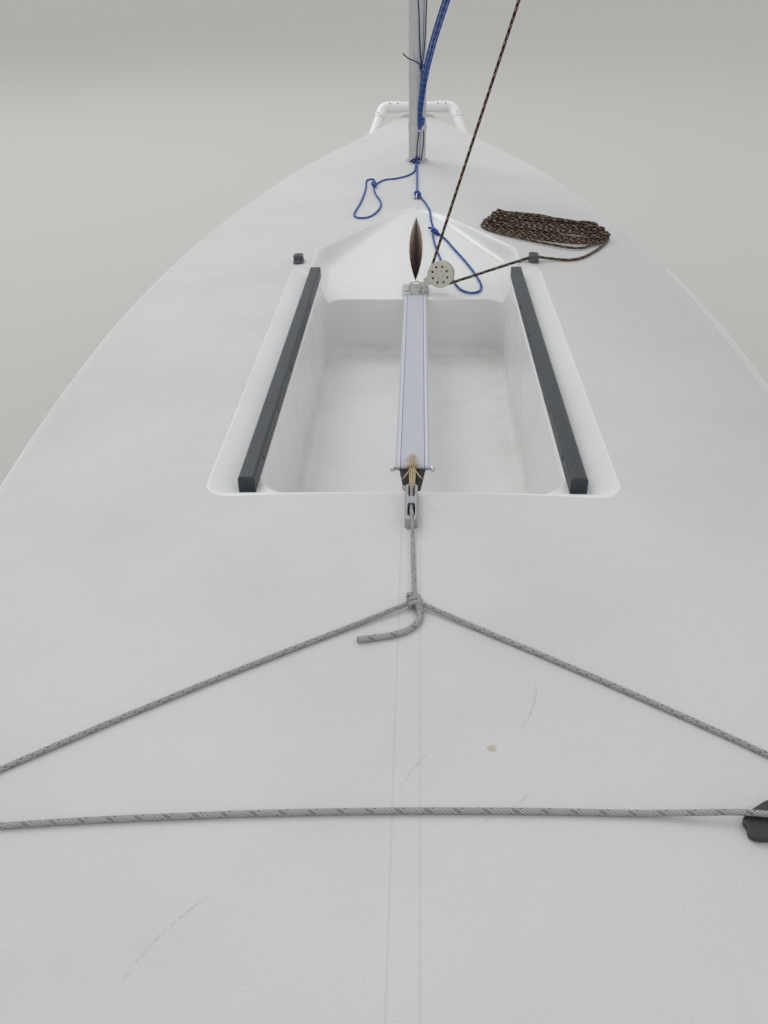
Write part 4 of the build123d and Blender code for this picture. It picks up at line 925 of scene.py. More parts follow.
traveller = {
    "diameter": 0.006,
    "tautDiameter": 0.0052,
    "looseDiameter": 0.0076,
    "rise": 3.3,
    "throughCleat": [
        (-2, 972, -43), (-9, 955, -38), (-14, 934, -27), (-12, 912, -14), (-6, 893, -9), (-1, 883, 3), (0, 873, 11),
        (0, 860, 12), (0, 840, 11), (0, 824, 10.6), (0, 812, 11), (0, 799, 14), (0.5, 786, 18.5), (1, 774, 20.5),
        (1.5, 764, 15), (2, 748, 6), (2.5, 728, 3.6), (3.5, 680, 3.4), (5, 630, 3.6), (6, 600, 6),
    ],
    "knot": (6, 594, 7.5),
    "knotSize": (0.026, 0.0215),
    "knotTurns": 2.6,
    "knotFlat": 0.62,
    "tip": (0.004, 0.0070),
    "knotTail": [
        (2, 600, 8), (9, 590, 9), (13, 578, 4), (12, 563, 3.4), (3, 546, 3.4), (-17, 534, 3.4), (-40, 529, 3.4),
        (-60, 524, 4.2),
    ],
    "fairlead": (512, 268, 9.5),
    # round the fairlead's post, from its eye
    "post": [(-26, 21, 0), (-6, 18.5, 0), (4, 18, 0), (9.5, 12, 0.5), (8, 3, 1), (0, 0, 1), (-14, -1, 0)],
    "noseIn": (309, 284.8, 10.8),
    "blockIn": [(336, 283.8, 11.0), (361, 282.5, 11.4)],
    "blockOut": (423, 259.6, 11.4),
    # the block's port end, which the rope lies on
    "nose": [
        (311, 281), (310.5, 276), (313, 272), (311, 266), (312.5, 261), (318, 258.5), (326, 259), (340, 261),
        (353, 262.5), (353, 296), (350, 303), (346, 306), (341, 305.5), (330, 298), (321, 291.6), (314.5, 286),
    ],
    "noseHeight": (0.4, 7.2),
    "noseEase": 1.4,
}


# a flat moulded plate lying on the deck, with its edges eased
def slab(name, outline, heights, ease, look):
    low, high = heights
    spots = []
    for k, spot in enumerate(outline):
        before, here, after = Vector(outline[k - 1]), Vector(spot), Vector(outline[(k + 1) % len(outline)])
        spots += [here.lerp(before, 0.25), here.lerp(after, 0.25)]
    middle = sum(spots, Vector((0, 0))) / len(spots)
    points = []
    levels = ((ease, low), (0, low + ease), (0, high - ease), (ease * 0.35, high - ease * 0.35), (ease, high))
    for inward, height in levels:
        for spot in spots:
            points.append(onHull(*(spot + (middle - spot).normalized() * inward), height))
    return meshFrom(name, points, ringFaces(len(levels), len(spots)), materials[look], smooth=False)


def addTraveller(look):
    thick = look["diameter"]
    runs = [strand([boat(*p) for p in look["throughCleat"]], look["tautDiameter"], "grey_rope", 0.002, 12)]
    middle = onHull(*look["knot"])
    x, station, eyeHeight = look["fairlead"]
    for sign in (-1, 1):
        eye = onHull(sign * x, station, eyeHeight)
        toPost = [Vector((sign * dx / 1000, dy / 1000, dz / 1000)) for dx, dy, dz in look["post"]]
        start = middle + Vector((sign * 0.004, 0, -0.001))
        wrap = tautOverDeck(start, eye + toPost[0], 9, look["rise"])[:-1] + [eye + v for v in toPost]
        if sign < 0:
            start = wrap[-1] + Vector((0, -0.006, 0))
            wrap += tautOverDeck(start, onHull(*look["noseIn"]), 16, look["rise"])[1:]
            wrap += [onHull(*spot) for spot in look["blockIn"]]
        else:
            wrap += tautOverDeck(wrap[-1], onHull(*look["blockOut"]), 4, look["rise"])[1:]
        runs.append(strand(wrap, thick, "grey_rope", 0.002, 12, 8))
    tail = [onHull(*spot) for spot in look["knotTail"]]
    runs.append(strand(tail, look["looseDiameter"], "grey_rope", 0.002, 12))
    tied = (look["knotSize"], thick, "grey_rope", look["knotTurns"], look["knotFlat"], 12)
    runs.append(knot(middle, Vector((0.25, -1, 0)), *tied))
    carried(joined("traveller_rope", runs), "boat")
    nose = slab("traveller_block_nose", look["nose"], look["noseHeight"], look["noseEase"], "black_plastic")
    carried(nose, "boat")
    carried(whipping("traveller_tip", nurbsLine(tail), *look["tip"]), "boat")


addTraveller(traveller)

mainsheet = {
    "diameter": 0.007,
    # the ratchet block hangs from its shackle, with its cheeks turned up and aft
    "block": (65, 2020), "blockHeight": 49.4, "shackle": (13.6, 2032.1, -52.7), "cheekWay": (0, -0.96, 0.28),
    "sheave": 28.8,
    # in each cheek: count, radius, distance from the middle, depth and first turn
    "holes": (8, 3.0, 20.46, 9.0, 0), "rivets": (4, 1.2, 8.9, 10.1, 0.5),
    "boomMiddle": 1371.5, "boomEnd": 2660, "boomDrop": 49.4, "boomSheave": 17.6, "boomSag": 0.035,
    "jaws": (304, 2085, 13.0), "pastJaws": (312, 2086, 12.4),
    # in metres, from the middle of the traveller block or of the boom's end block
    "lowSheave": (0.013, -0.0048, 0.0), "legTop": (0.012, 0.0, -0.024), "becket": (0.012, 0.0, -0.036),
    "legSlack": (0.02, -0.05, -0.07), "becketKnot": (0.03, 0.022),
}


# where a straight line from a point outside can touch a wheel
def touches(centre, radius, outside, axis):
    away = outside - centre
    away -= axis * away.dot(axis)
    turn = math.acos(min(1.0, radius / away.length))
    spokes = [Matrix.Rotation(turn * side, 4, axis) @ away.normalized() for side in (-1, 1)]
    return [centre + spoke * radius for spoke in spokes]


def turnedAbout(centre, axis, start, angles):
    return [centre + Matrix.Rotation(angle, 4, axis) @ (start - centre) for angle in angles]


# from start to end round a wheel, by the side that faces a direction
def roundWheel(centre, axis, start, end, steps, toward):
    a, b = start - centre, end - centre
    arcs = []
    for way in (1, -1):
        angle = a.angle(b)
        if axis.dot(a.cross(b)) * way < 0:
            angle = math.tau - angle
        arc = turnedAbout(centre, axis, start, [way * angle * k / steps for k in range(steps + 1)])
        # control points stand outside the wheel by what the smooth line cuts off
        outward = 1 / math.cos(angle / steps / 2) ** 1.2
        arcs.append([arc[0]] + [centre + (p - centre) * outward for p in arc[1:-1]] + [arc[-1]])
    return max(arcs, key=lambda arc: sum((p - centre).dot(toward) for p in arc))


# the first part of a rim from start, by the side that faces a direction
def rimToward(centre, axis, start, angles, toward):
    arcs = [turnedAbout(centre, axis, start, [a * way for a in angles]) for way in (1, -1)]
    return max(arcs, key=lambda arc: (arc[2] - centre).dot(toward))


# the ratchet block's middle, the way its cheeks look and the way to its shackle
def ratchetBlock(look):
    x, station = look["block"]
    centre = boat(x, station, rampHeight(station) + look["blockHeight"])
    shackleWay = (boat(*look["shackle"]) - centre).normalized()
    cheekWay = Vector(look["cheekWay"])
    return centre, (cheekWay - shackleWay * cheekWay.dot(shackleWay)).normalized(), shackleWay


# eight holes in each cheek, and four rivets nearer its middle, each drawn as a black disc; the discs in the holes are
# painted shade
def addRatchetHoles(look):
    centre, axis, shackleWay = ratchetBlock(look)
    across = axis.cross(shackleWay)
    dark = []
    for face in (-1, 1):
        for count, size, out, deep, first in (look["holes"], look["rivets"]):
            outline = [(size, -0.5), (size, 0.0), (0.2, 0.05)]
            for turn in (math.tau * (k + first) / count for k in range(count)):
                spoke = shackleWay * math.cos(turn) + across * math.sin(turn)
                spot = centre + spoke * out / 1000 + axis * face * deep / 1000
                dark.append(turned("hole", outline, spot, axis * face, "black_plastic", 16))
    carried(joined("ratchet_block_holes", dark), "boat")


# down from the boom, round the ratchet block on its shackle's side and out to the cleat
def addMainsheet(look):
    thick = look["diameter"]
    centre, axis, shackleWay = ratchetBlock(look)
    aftWay = onBoom(0, 0, 1) - onBoom(0, 0, 0)
    boomBlock, endBlock = (onBoom(0, -look["boomDrop"], look[key]) for key in ("boomMiddle", "boomEnd"))
    boomRadius = look["boomSheave"] / 1000
    radius = look["sheave"] / 1000
    jaws = onHull(*look["jaws"])
    fromBoom = min(touches(boomBlock, boomRadius, centre, sparSide), key=lambda p: (p - boomBlock).dot(aftWay))
    topTouch = min(touches(centre, radius, boomBlock, axis), key=lambda p: p.x)
    lowTouch = min(touches(centre, radius, jaws, axis), key=lambda p: p.z)
    drop = [fromBoom.lerp(topTouch, k / 12) for k in range(13)]
    dropRope = ropeTube("mainsheet_drop", drop, thick, materials["mainsheet_rope"], 0.004, 12)
    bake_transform(dropRope)
    onBlock = roundWheel(centre, axis, topTouch, lowTouch, 10, shackleWay)
    toCleat = nurbsLine(onBlock + [lowTouch.lerp(jaws, k / 6) for k in range(1, 6)], 8)
    inJaws = [jaws, onHull(*look["pastJaws"]), sheetLine[0], sheetLine[3]]
    deckRope = ropeTube("mainsheet_deck", toCleat + inJaws, thick, materials["mainsheet_rope"], 0.003, 12)
    carried(deckRope, "boat")
    # along the boom, over the block at its end and down to the traveller
    angles = (0.0, 0.5, 1.0, 1.5)
    start, end = (block + boomUp * boomRadius for block in (boomBlock, endBlock))
    over = rimToward(boomBlock, sparSide, start, angles, -aftWay)
    outer = rimToward(endBlock, sparSide, end, angles[:3] + (1.6,), aftWay)
    deep = -look["boomSag"]
    sag = [start.lerp(end, k / 6) + Vector((0, 0, deep * math.sin(math.pi * k / 6))) for k in range(1, 6)]
    route = [fromBoom] + over[::-1] + sag + outer
    boomRope = strand(route, thick, "mainsheet_rope", 0.004, 12, 8, name="mainsheet_boom")
    carried(boomRope, "rig")
    addMainsheetLegs(look, endBlock, outer[-1])


# from the boom's end to the traveller block and back up to the becket
def addMainsheetLegs(look, endBlock, rim):
    thick = look["diameter"]
    travellerBlock = (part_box("traveller_block")[0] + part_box("traveller_block")[1]) / 2
    sheave = travellerBlock + Vector(look["lowSheave"])
    across, along, down = look["legSlack"]
    legs = []
    for sign, top in ((1, rim), (-1, endBlock + Vector(look["legTop"]))):
        side = sheave + Vector((0.004 * sign, 0.0155 * sign, 0))
        clear = side + Vector((0.05, 0.012 + 0.02 * sign, 0.012))
        leg = [sheave + Vector((-0.0155, 0.002 * sign, 0)), side, clear]
        for share in (k / 8 for k in range(1, 9)):
            slack = Vector((across * sign, along, down)) * math.sin(math.pi * share) * (1 - share)
            leg.append(clear.lerp(top, share) + slack)
        legs.append(strand(leg, thick, "mainsheet_rope", 0.004, 12, 8))
    becket = endBlock + Vector(look["becket"])
    legs.append(knot(becket, Vector((0, 0.1, 1)), look["becketKnot"], thick, "mainsheet_rope"))
    legRope = joined("mainsheet_legs", legs)
    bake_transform(legRope)


addRatchetHoles(mainsheet)
addMainsheet(mainsheet)

mastLines = {
    "blue": 0.0058, "thin": 0.0042, "tang": (0, -45, 122), "eye": 560, "eyeDrop": 41.4,
    "strands": (-1.5, -0.5, 0.5, 1.5), "strandGap": 0.0054, "strandDepth": 0.0024, "slack": 0.024,
    # length of each of the vang's knots, and its distance from the vang's end
    "vangKnots": (0.05, 0.06), "vangKnotWidth": 0.026, "vangKnotTurns": 4.2,
    "downhaul": [
        [(9, -36, 330), (4, -36, 362), (0, -36, 430), (-3, -36, 520), (-16, -35, 590), (-27, -33, 640),
         (-22, -38, 680), (-4, -44, 700)],
        [(9, -36, 330), (16, -34, 362), (21, -31, 430), (24, -30, 520), (29, -27, 590), (30, -30, 640),
         (22, -38, 680), (4, -44, 700)],
        [(9, -36, 330), (8, -38, 280), (5, -42, 200), (2, -46, 132)],
        [(9, -38, 330), (-8, -44, 343), (-26, -46, 352), (-44, -44, 358), (-60, -42, 374)],
    ],
    "downhaulKnot": (9, -37, 330),
    "foot": (4, 3321, 12),
    "eyeLine": ((0, 3308, 6), (1, 2768, 7)), "eyeLineRise": 3.1,
    # middle, way, length and width, rope's width, look, turns and flatness
    "footKnots": [
        ((-5, 3314, 10), (0.95, 0.12, 0.15), (0.038, 0.021), 0.0050, "dark_blue_rope", 3.4, 1.0),
        ((0, 3310, 8.5), (0.2, -1, 0), (0.034, 0.018), 0.0058, "blue_rope", 2.4, 0.9),
    ],
    "eyeKnot": ((3, 2764, 13), (0.3, -1, 0.1), (0.030, 0.022), 0.0058, "blue_rope", 2.6, 0.9),
}


# four parts from the mast's tang to the boom's eye, with a wrapped knot at each end
def addVang(look):
    blue = look["blue"]
    tang = onRig(*look["tang"])
    eye = onBoom(0, -look["eyeDrop"], look["eye"])
    run = (eye - tang).normalized()
    across = run.cross(Vector((1, 0, 0))).normalized()
    side = run.cross(across).normalized()
    slack = Vector((look["slack"], 0, 0))
    vang = []
    for k, offset in enumerate(look["strands"]):
        spread = side * look["strandGap"] * offset
        depth = across * look["strandDepth"] * (1 if k % 2 else -1)
        line = [tang + run * 0.004 + spread * 0.4 + depth]
        for share in (0.06, 0.2, 0.4, 0.6, 0.8, 0.94):
            opened = spread * (0.55 + 0.45 * math.sin(math.pi * min(1, share * 2.2) / 2))
            line.append(tang.lerp(eye, share) + opened + depth - slack * math.sin(math.pi * share**0.9))
        line.append(eye - run * 0.004 + spread * 0.4 + depth)
        vang.append(strand(line, blue, "blue_rope", 0.004))
    for end, inward, reach in zip((tang, eye), (run, -run), look["vangKnots"]):
        size = (reach, look["vangKnotWidth"])
        vang.append(knot(end + inward * reach, run, size, blue, "blue_rope", look["vangKnotTurns"], 1.0))
    turns = (0, 1.2, 2.4, 3.6, 4.8, 6.0)
    loop = [tang + Vector((0.006 * math.cos(a), 0, 0.006 * math.sin(a))) + run * 0.006 for a in turns]
    vang.append(strand(loop, blue, "blue_rope", 0.002))
    carried(joined("vang_rope", vang), "rig")


def addDownhaul(look):
    thin = look["thin"]
    rigPart = [strand([onRig(*p) for p in line], thin, "dark_blue_rope") for line in look["downhaul"]]
    heading = Vector((0.1, 0.05, 1))
    rigPart.append(knot(onRig(*look["downhaulKnot"]), heading, (0.022, 0.015), thin, "dark_blue_rope", 2.6, 1.0))
    carried(joined("downhaul_rig_part", rigPart), "rig")
    foot = boat(*look["foot"])
    parts = []
    for dx, dy, way in ((-5, 0, -1), (9, 3, 1)):
        top = onRig(dx + 6, -44 - dy, 116)
        bottom = foot + Vector((dx * 0.0012, 0, 0))
        bow = Vector((0.004 * way, -0.004, 0))
        line = [top, top.lerp(bottom, 0.3) + bow, top.lerp(bottom, 0.7) + bow * 0.6, bottom]
        parts.append(strand(line, thin, "dark_blue_rope"))
    downhaul = joined("downhaul_rope", parts)
    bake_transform(downhaul)


# knots at the mast's foot, and the line from there to the deck eye
def addFootLines(look):
    lump = [knot(boat(*spot), Vector(way), *tied) for spot, way, *tied in look["footKnots"]]
    carried(joined("mast_foot_knots", lump), "boat")
    start, end = (boat(*spot) for spot in look["eyeLine"])
    spot, way, *tied = look["eyeKnot"]
    stretch = [
        strand(tautOverDeck(start, end, 8, look["eyeLineRise"]), look["blue"], "blue_rope"),
        knot(onHull(*spot), Vector(way), *tied),
    ]
    carried(joined("deck_eye_line", stretch), "boat")


addVang(mastLines)
addDownhaul(mastLines)
addFootLines(mastLines)
print("taut ropes made")

# Hiking strap: pale webbing with a seam along each edge, a bar at its end and a black tail lashed with twine

strap = {
    "width": 58, "thick": 2.4, "front": 2060, "bend": 1990, "aft": 1040, "aftHeight": -50.5, "plateLift": 2.6,
    "seamIn": 8.8, "edgeIn": 2.2, "stitch": (4.4, 0.9), "stitchEvery": 5.6, "sag": 7, "curl": 1.1,
    "lengthSteps": 72, "widthSteps": 12,
    "bar": 3.0, "knob": 5.0, "barHalf": 33, "tailAft": 972, "tailHalf": (21.5, 13.0), "tailHeights": (-50.5, -51.5),
}


def strapHeight(station, look):
    start = rampHeight(max(station, look["bend"])) + look["plateLift"]
    share = max(0.0, look["bend"] - station) / (look["bend"] - look["aft"])
    hollow = look["sag"] * 2 * share * (1 - share) - 0.6 * math.sin(21 * share)
    return start + share * (look["aftHeight"] - start) - hollow


def strapSpot(x, station, look, lift=0.0):
    edge = abs(x) / (look["width"] / 2)
    curl = look["curl"] * edge**4 if station < look["bend"] else 0
    return boat(x, station, strapHeight(station, look) + curl + lift)


# a stitch is a small raised pad
def addStitches(look):
    points, faces = [], []
    half = look["width"] / 2
    long, wide = look["stitch"]
    lift = look["thick"] / 2 + 0.25
    corners = ((-wide, 0), (wide, 0), (wide, long), (-wide, long))
    for line in (-half + look["seamIn"], half - look["seamIn"], -half + look["edgeIn"], half - look["edgeIn"]):
        station = look["aft"] + 6
        while station < look["bend"] - 8:
            n = len(points)
            points += [strapSpot(line + dx / 2, station + dy, look, lift - 0.5) for dx, dy in corners]
            points += [strapSpot(line + dx / 3, station + 0.5 + dy * 0.7, look, lift) for dx, dy in corners]
            faces += [(n + 4, n + 5, n + 6, n + 7)]
            faces += [(n + k, n + (k + 1) % 4, n + 4 + (k + 1) % 4, n + 4 + k) for k in range(4)]
            station += look["stitchEvery"]
    return carried(meshFrom("strap_stitches", points, faces, materials["stitching"]), "boat")


def addStrap(look):
    half, wide, length = look["width"] / 2, look["widthSteps"], look["lengthSteps"]
    stations = [look["front"] - (look["front"] - look["aft"]) * k / length for k in range(length + 1)]
    rows = [[strapSpot(-half + look["width"] * j / wide, s, look) for j in range(wide + 1)] for s in stations]
    webbing = ribbon("hiking_strap_webbing", rows, look["thick"] / 1000, "strap_webbing")
    carried(webbing, "boat")
    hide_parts("hiking_strap")
    addStitches(look)


# bar through the loop at the strap's end
def addStrapBar(look):
    middle = boat(0, look["aft"] + 4, look["aftHeight"] - 3.4)
    knob, end = look["knob"], look["barHalf"]
    profile = [(0.1, -end - 4), (knob * 0.7, -end - 3.5), (knob, -end - 1.5), (knob, -end + 1.5),
               (look["bar"], -end + 3), (look["bar"], 0)]
    profile += [(out, -up) for out, up in profile[::-1][1:]]
    carried(turned("strap_bar", profile, middle, Vector((1, 0, 0)), "stainless"), "boat")


def addStrapTail(look):
    tailRows = []
    for share in (k / 14 for k in range(15)):
        station = look["aft"] - 0.5 - (look["aft"] - 0.5 - look["tailAft"]) * share
        wide, height = (a * (1 - share) + b * share for a, b in (look["tailHalf"], look["tailHeights"]))
        height -= 2.6 + 1.5 * math.sin(math.pi * share)
        across = [j / 5 - 1 for j in range(11)]
        tailRows.append([boat(wide * side, station, height + 0.8 * abs(side) ** 3) for side in across])
    carried(ribbon("strap_tail", tailRows, 0.0022, "black_webbing"), "boat")


addStrap(strap)
addStrapBar(strap)
addStrapTail(strap)

# Twine lashing from the strap's bar to an eye in the well's aft wall
lashing = {
    "diameter": 0.0028,
    "knot": (0, 1036, -44.5), "knotSize": (0.020, 0.014),
    "lowerKnot": (0, 967, -45.5), "lowerKnotSize": (0.022, 0.014),
    "eye": (0, 909, -40), "eyeWire": 0.004, "rivets": (-14, 14),
    "tufts": [
        (-12, 20, 5), (-9, 27, 6), (-7, 33, 5), (-4, 35, 7), (-2, 38, 6), (1, 37, 7), (3, 34, 6), (5, 36, 5.5),
        (7, 30, 6.5), (10, 24, 5), (13, -38, -1), (17, -41, -2), (-14, -40, -1), (-18, -43, -2),
    ],
    # share of each strand's offset, station and height on the way to the eye
    "run": [(1, 1022, -47.5), (0.8, 990, -48.5), (0.6, 955, -46.5), (0.4, 925, -42.5)],
    "strands": [(-4.5, 0), (-1.5, 1.2), (1.8, 0.2), (4.4, 1.0)],
    "arch": [(-9, -9, -2), (-8, 0, -1), (-3, 4, 0), (3, 4, 0), (8, 0, -1), (9, -9, -2)],
}


def addLashing(look):
    thick = look["diameter"]
    start, eye = boat(*look["knot"]), boat(*look["eye"])
    parts = [knot(start, Vector((1, 0.2, 0)), look["knotSize"], thick, "twine", 4.4, 0.8)]
    for dx, dy, dz in look["tufts"]:
        line = [start, start + Vector((dx * 0.4, dy * 0.4, dz)) / 1000, start + Vector((dx, dy, dz * 0.7)) / 1000]
        parts.append(strand(line, thick * 0.8, "twine", 0.002, 8, 5, 0.5))
    for dx, lift in look["strands"]:
        line = [start + Vector((dx * 0.6, -2, -1)) / 1000]
        line += [boat(dx * share, station, height + lift) for share, station, height in look["run"]]
        line.append(eye + Vector((dx * 0.0004, 0, 0.002)))
        parts.append(strand(line, thick, "twine", 0.002, 8, 6))
    lower = boat(*look["lowerKnot"])
    parts.append(knot(lower, Vector((0.2, 1, 0)), look["lowerKnotSize"], thick, "twine", 4.0, 0.8))
    carried(joined("strap_lashing", parts), "boat")
    metal = [strand([eye + Vector(spot) / 1000 for spot in look["arch"]], look["eyeWire"], "stainless", 0.001, 12, 6)]
    rivet = [(5, -8), (5, -4.5), (3.5, -3.6), (0.6, -3.4)]
    for x in look["rivets"]:
        metal.append(turned("rivet", rivet, eye + Vector((x, 0, -2)) / 1000, Vector((0, 1, 0)), "stainless"))
    carried(joined("well_eye", metal), "boat")


addLashing(lashing)
print("strap and lashing made")

# Screws and small fittings

screwHead = [(4.0, -0.6), (4.0, 0.4), (3.2, 1.2), (1.5, 1.5), (1.4, 0.7), (0.3, 0.7)]


def addScrewsAt(name, places, look, scale):
    profile = [(out * scale, up * scale) for out, up in screwHead]
    parts = [turned("screw", profile, spot, way, look, 16) for spot, way in places]
    carried(joined(name, parts), "boat")


fittings = {
    # how large each kind of screw is against the outline above
    "sizes": {"rail": 0.85, "deck": 0.6, "plate": 0.7, "gudgeon": 0.9, "handle": 0.75},
    "railScrews": 6, "railFace": 0.0034,
    # fairleads and cleats: x, the stations of both screws, height of the foot
    "deckFeet": [(-512, (253, 283), 0.0042), (512, (253, 283), 0.0042), (-304, (2071, 2099), 0.0072),
                 (304, (2071, 2099), 0.0072)],
    "plateScrews": (22, 10.5, 9.2), "gudgeonHeights": (-62, -172), "gudgeonScrew": (22, -2.4),
    "handleEnd": (153, 4105, 89), "handleScrews": (88, 122), "handleTurn": 0.75, "pipeOuter": 0.0234,
    "armRun": (0.325, -1, -0.7813), "armScrew": 0.056,
    "pinHeights": (-0.022, -0.008, 0.008, 0.024), "pinOut": 0.026,
    "valve": [(2.5, -4), (3.2, 6), (3.0, 14), (1.6, 15), (1.6, 20), (0.3, 20.5)], "valveAt": (0.028, 0.088),
}


def addRailScrews(look):
    low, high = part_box("grab_rail_port")
    height = (low.z + high.z) / 2
    count = look["railScrews"]
    for side, sign in (("port", -1), ("starboard", 1)):
        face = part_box(f"grab_rail_{side}")[1 if sign < 0 else 0].x + sign * look["railFace"]
        spots = [Vector((face, low.y + (high.y - low.y) * (k + 0.5) / count, height)) for k in range(count)]
        inward = Vector((-sign, 0, 0))
        addScrewsAt(f"rail_screws_{side}", [(spot, inward) for spot in spots], "stainless", look["sizes"]["rail"])


def addDeckScrews(look):
    deck = []
    for x, stations, lift in look["deckFeet"]:
        for station in stations:
            hit, normal = hullTree.ray_cast(boat(x, station, 300), downward)[:2]
            deck.append((hit + normal * lift, normal))
    addScrewsAt("deck_screws", deck, "stainless", look["sizes"]["deck"])
    slope = math.radians(boatDatum["rampSlope"])
    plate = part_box("strap_plate")
    plateStation = ((plate[0].y + plate[1].y) / 2 - boatDatum["transom"]) * 1000
    x, reach, lift = look["plateScrews"]
    squareUp = Vector((0, -math.sin(slope), math.cos(slope)))
    stations = (plateStation - reach, plateStation + reach)
    corners = [(boat(side, s, rampHeight(s) + lift), squareUp) for side in (-x, x) for s in stations]
    addScrewsAt("plate_screws", corners, "stainless", look["sizes"]["plate"])
    x, station = look["gudgeonScrew"]
    transom = [(boat(side, station, h), Vector((0, -1, 0))) for h in look["gudgeonHeights"] for side in (-x, x)]
    addScrewsAt("gudgeon_screws", transom, "stainless", look["sizes"]["gudgeon"])


def addHandleScrews(look):
    pipes = []
    endX, station, height = look["handleEnd"]
    for sign in (-1, 1):
        way = Vector((0, -math.sin(look["handleTurn"]), math.cos(look["handleTurn"])))
        pipes += [(boat(sign * x, station, height) + way * look["pipeOuter"], way) for x in look["handleScrews"]]
        along, back, lower = look["armRun"]
        arm = Vector((sign * along, back, lower)).normalized()
        up = Vector((0, 0.2, 1))
        way = (up - arm * arm.dot(up)).normalized()
        pipes.append((boat(sign * endX, station, height) + arm * look["armScrew"] + way * look["pipeOuter"], way))
    addScrewsAt("handle_screws", pipes, "black_plastic", look["sizes"]["handle"])


# a split pin through each end of the axle, and a valve on each tyre
def addWheelFittings(look):
    for side, sign in (("port", -1), ("starboard", 1)):
        low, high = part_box(f"wheel_hub_{side}")
        middle = (low + high) / 2
        outer = (high.x if sign > 0 else low.x) + sign * look["pinOut"]
        pin = [Vector((outer, middle.y, middle.z + dz)) for dz in look["pinHeights"]]
        carried(ropeTube(f"split_pin_{side}", pin, 0.004, materials["axle_steel"]), "boat")
        out, up = look["valveAt"]
        foot = middle + Vector((sign * out, 0, up))
        valve = turned(f"tyre_valve_{side}", look["valve"], foot, Vector((sign * 0.8, 0, -0.6)), "black_plastic", 14)
        carried(valve, f"wheel_{side}")


addRailScrews(fittings)
addDeckScrews(fittings)
addHandleScrews(fittings)
addWheelFittings(fittings)
print("screws and small fittings made")

# Sail: cloth panels with seams, batten pockets, tapes, a window and corner patches

# sections are height share, chord share, lift and twist in degrees
sailCut = {
    "base": 680, "luff": 5190.3, "foot": 2600, "sleeve": 34.6,
    "sections": [(0.0, 1.0, 8.0, 0), (0.30, 0.790, 5, 2), (0.60, 0.480, 3, 5), (1.0, 0.035, 0, 8)],
    "camber": 0.07, "rows": 90, "columns": 44, "cloth": 0.0011,
    "seams": (0.085, 0.20, 0.32, 0.44, 0.56, 0.68, 0.80, 0.91),
    "battens": ((0.27, 0.60), (0.50, 0.50), (0.73, 0.34)),
    "window": (0.10, 0.36, 0.055, 0.105),
    "sleeveSeed": 5, "sleeveRadius": 33.3, "cap": [(33.4, -30), (33.6, -2), (31, 1.4), (20, 2.4), (0.5, 2.6)],
    "eyelets": ((0.985, 0.006), (0.012, 0.012)),
    "eyeletOutline": [(5, -3), (9, -3), (10, -2), (10, 2), (9, 3), (5, 3), (5, -3)],
    "line": 0.004, "outhaul": 2738, "clewTie": 2535, "tieRadius": 30.5,
    "tackTie": [(2, -47, 712), (0, -46, 700), (-6, -43, 692)],
}
sailTree = treeOf("sail")


def curveThrough(share, column, look):
    total = 0.0
    for i, here in enumerate(look["sections"]):
        weight = 1.0
        for j, other in enumerate(look["sections"]):
            if i != j:
                weight *= (share - other[0]) / (here[0] - other[0])
        total += weight * here[column]
    return total


def sailSpot(out, up, look):
    chord = curveThrough(up, 1, look) * look["foot"]
    lift, twist = (math.radians(curveThrough(up, column, look)) for column in (2, 3))
    depth = look["camber"] * chord * 4 * out * (1 - out) * 0.98
    reach = look["sleeve"] + out * chord
    way = Vector((math.sin(twist), -math.cos(twist)))
    height = look["base"] + 12 + up * (look["luff"] - 24) + reach * math.tan(lift) * 0.98
    guess = onRig(way.x * reach - way.y * depth, way.y * reach + way.x * depth, height)
    found = sailTree.find_nearest(guess)[0]
    return found if found is not None else guess


def sailPatch(outs, ups, look, thick, cloth="sail_tape", name="patch"):
    return ribbon(name, [[sailSpot(out, up, look) for out in outs] for up in ups], thick, cloth)


def spaced(a, b, count):
    return [a + (b - a) * k / count for k in range(count + 1)]


# seams, edges, the window's frame and three layers at each corner
def tapePlan(look):
    across = spaced(0.004, 0.996, 40)
    plan = [(across, (seam - 0.0016, seam + 0.0016), 0.0022) for seam in look["seams"]]
    plan += [((0.986, 0.9995), spaced(0.004, 0.996, 90), 0.0024), (across, (0.001, 0.007), 0.0026)]
    left, right, foot, head = look["window"]
    wide, tall = spaced(left - 0.006, right + 0.008, 16), spaced(foot - 0.002, head + 0.003, 8)
    plan += [
        ((left - 0.006, left + 0.004), tall, 0.0028), ((right - 0.002, right + 0.008), tall, 0.0028),
        (wide, (foot - 0.004, foot + 0.001), 0.0028), (wide, (head, head + 0.005), 0.0028),
    ]
    for size, thick in ((0.10, 0.0026), (0.065, 0.0036), (0.035, 0.0046)):
        plan += [
            (spaced(1 - size, 0.998, 8), spaced(0.002, size * 0.5, 6), thick),
            (spaced(0.004, size * 0.9, 8), spaced(0.002, size * 0.42, 6), thick),
            (spaced(0.02, 0.98, 6), spaced(1 - size * 0.5, 0.998, 6), thick),
        ]
    return plan


# a sleeve on the mast, a little puckered where the thinner upper mast leaves it slack
def sleeveRows(look):
    chance = random.Random(look["sleeveSeed"])
    phases = [chance.uniform(0, math.tau) for _ in range(5)][::2]
    rows = []
    for share in (k / 150 for k in range(151)):
        row = []
        for angle in (math.tau * j / 32 for j in range(33)):
            slack = 0.9 + 0.5 * math.sin(3 * angle + phases[0] + 20 * share)
            slack += 0.5 * math.sin(2 * angle + phases[1] - 34 * share)
            slack *= 0.6 + 0.4 * math.sin(90 * share + phases[2])
            radius = look["sleeveRadius"] + max(0.0, slack) * 0.7
            height = look["base"] + 1 + share * (look["luff"] - 1)
            row.append(onRig(radius * math.sin(angle), -radius * math.cos(angle), height))
        rows.append(row)
    return rows


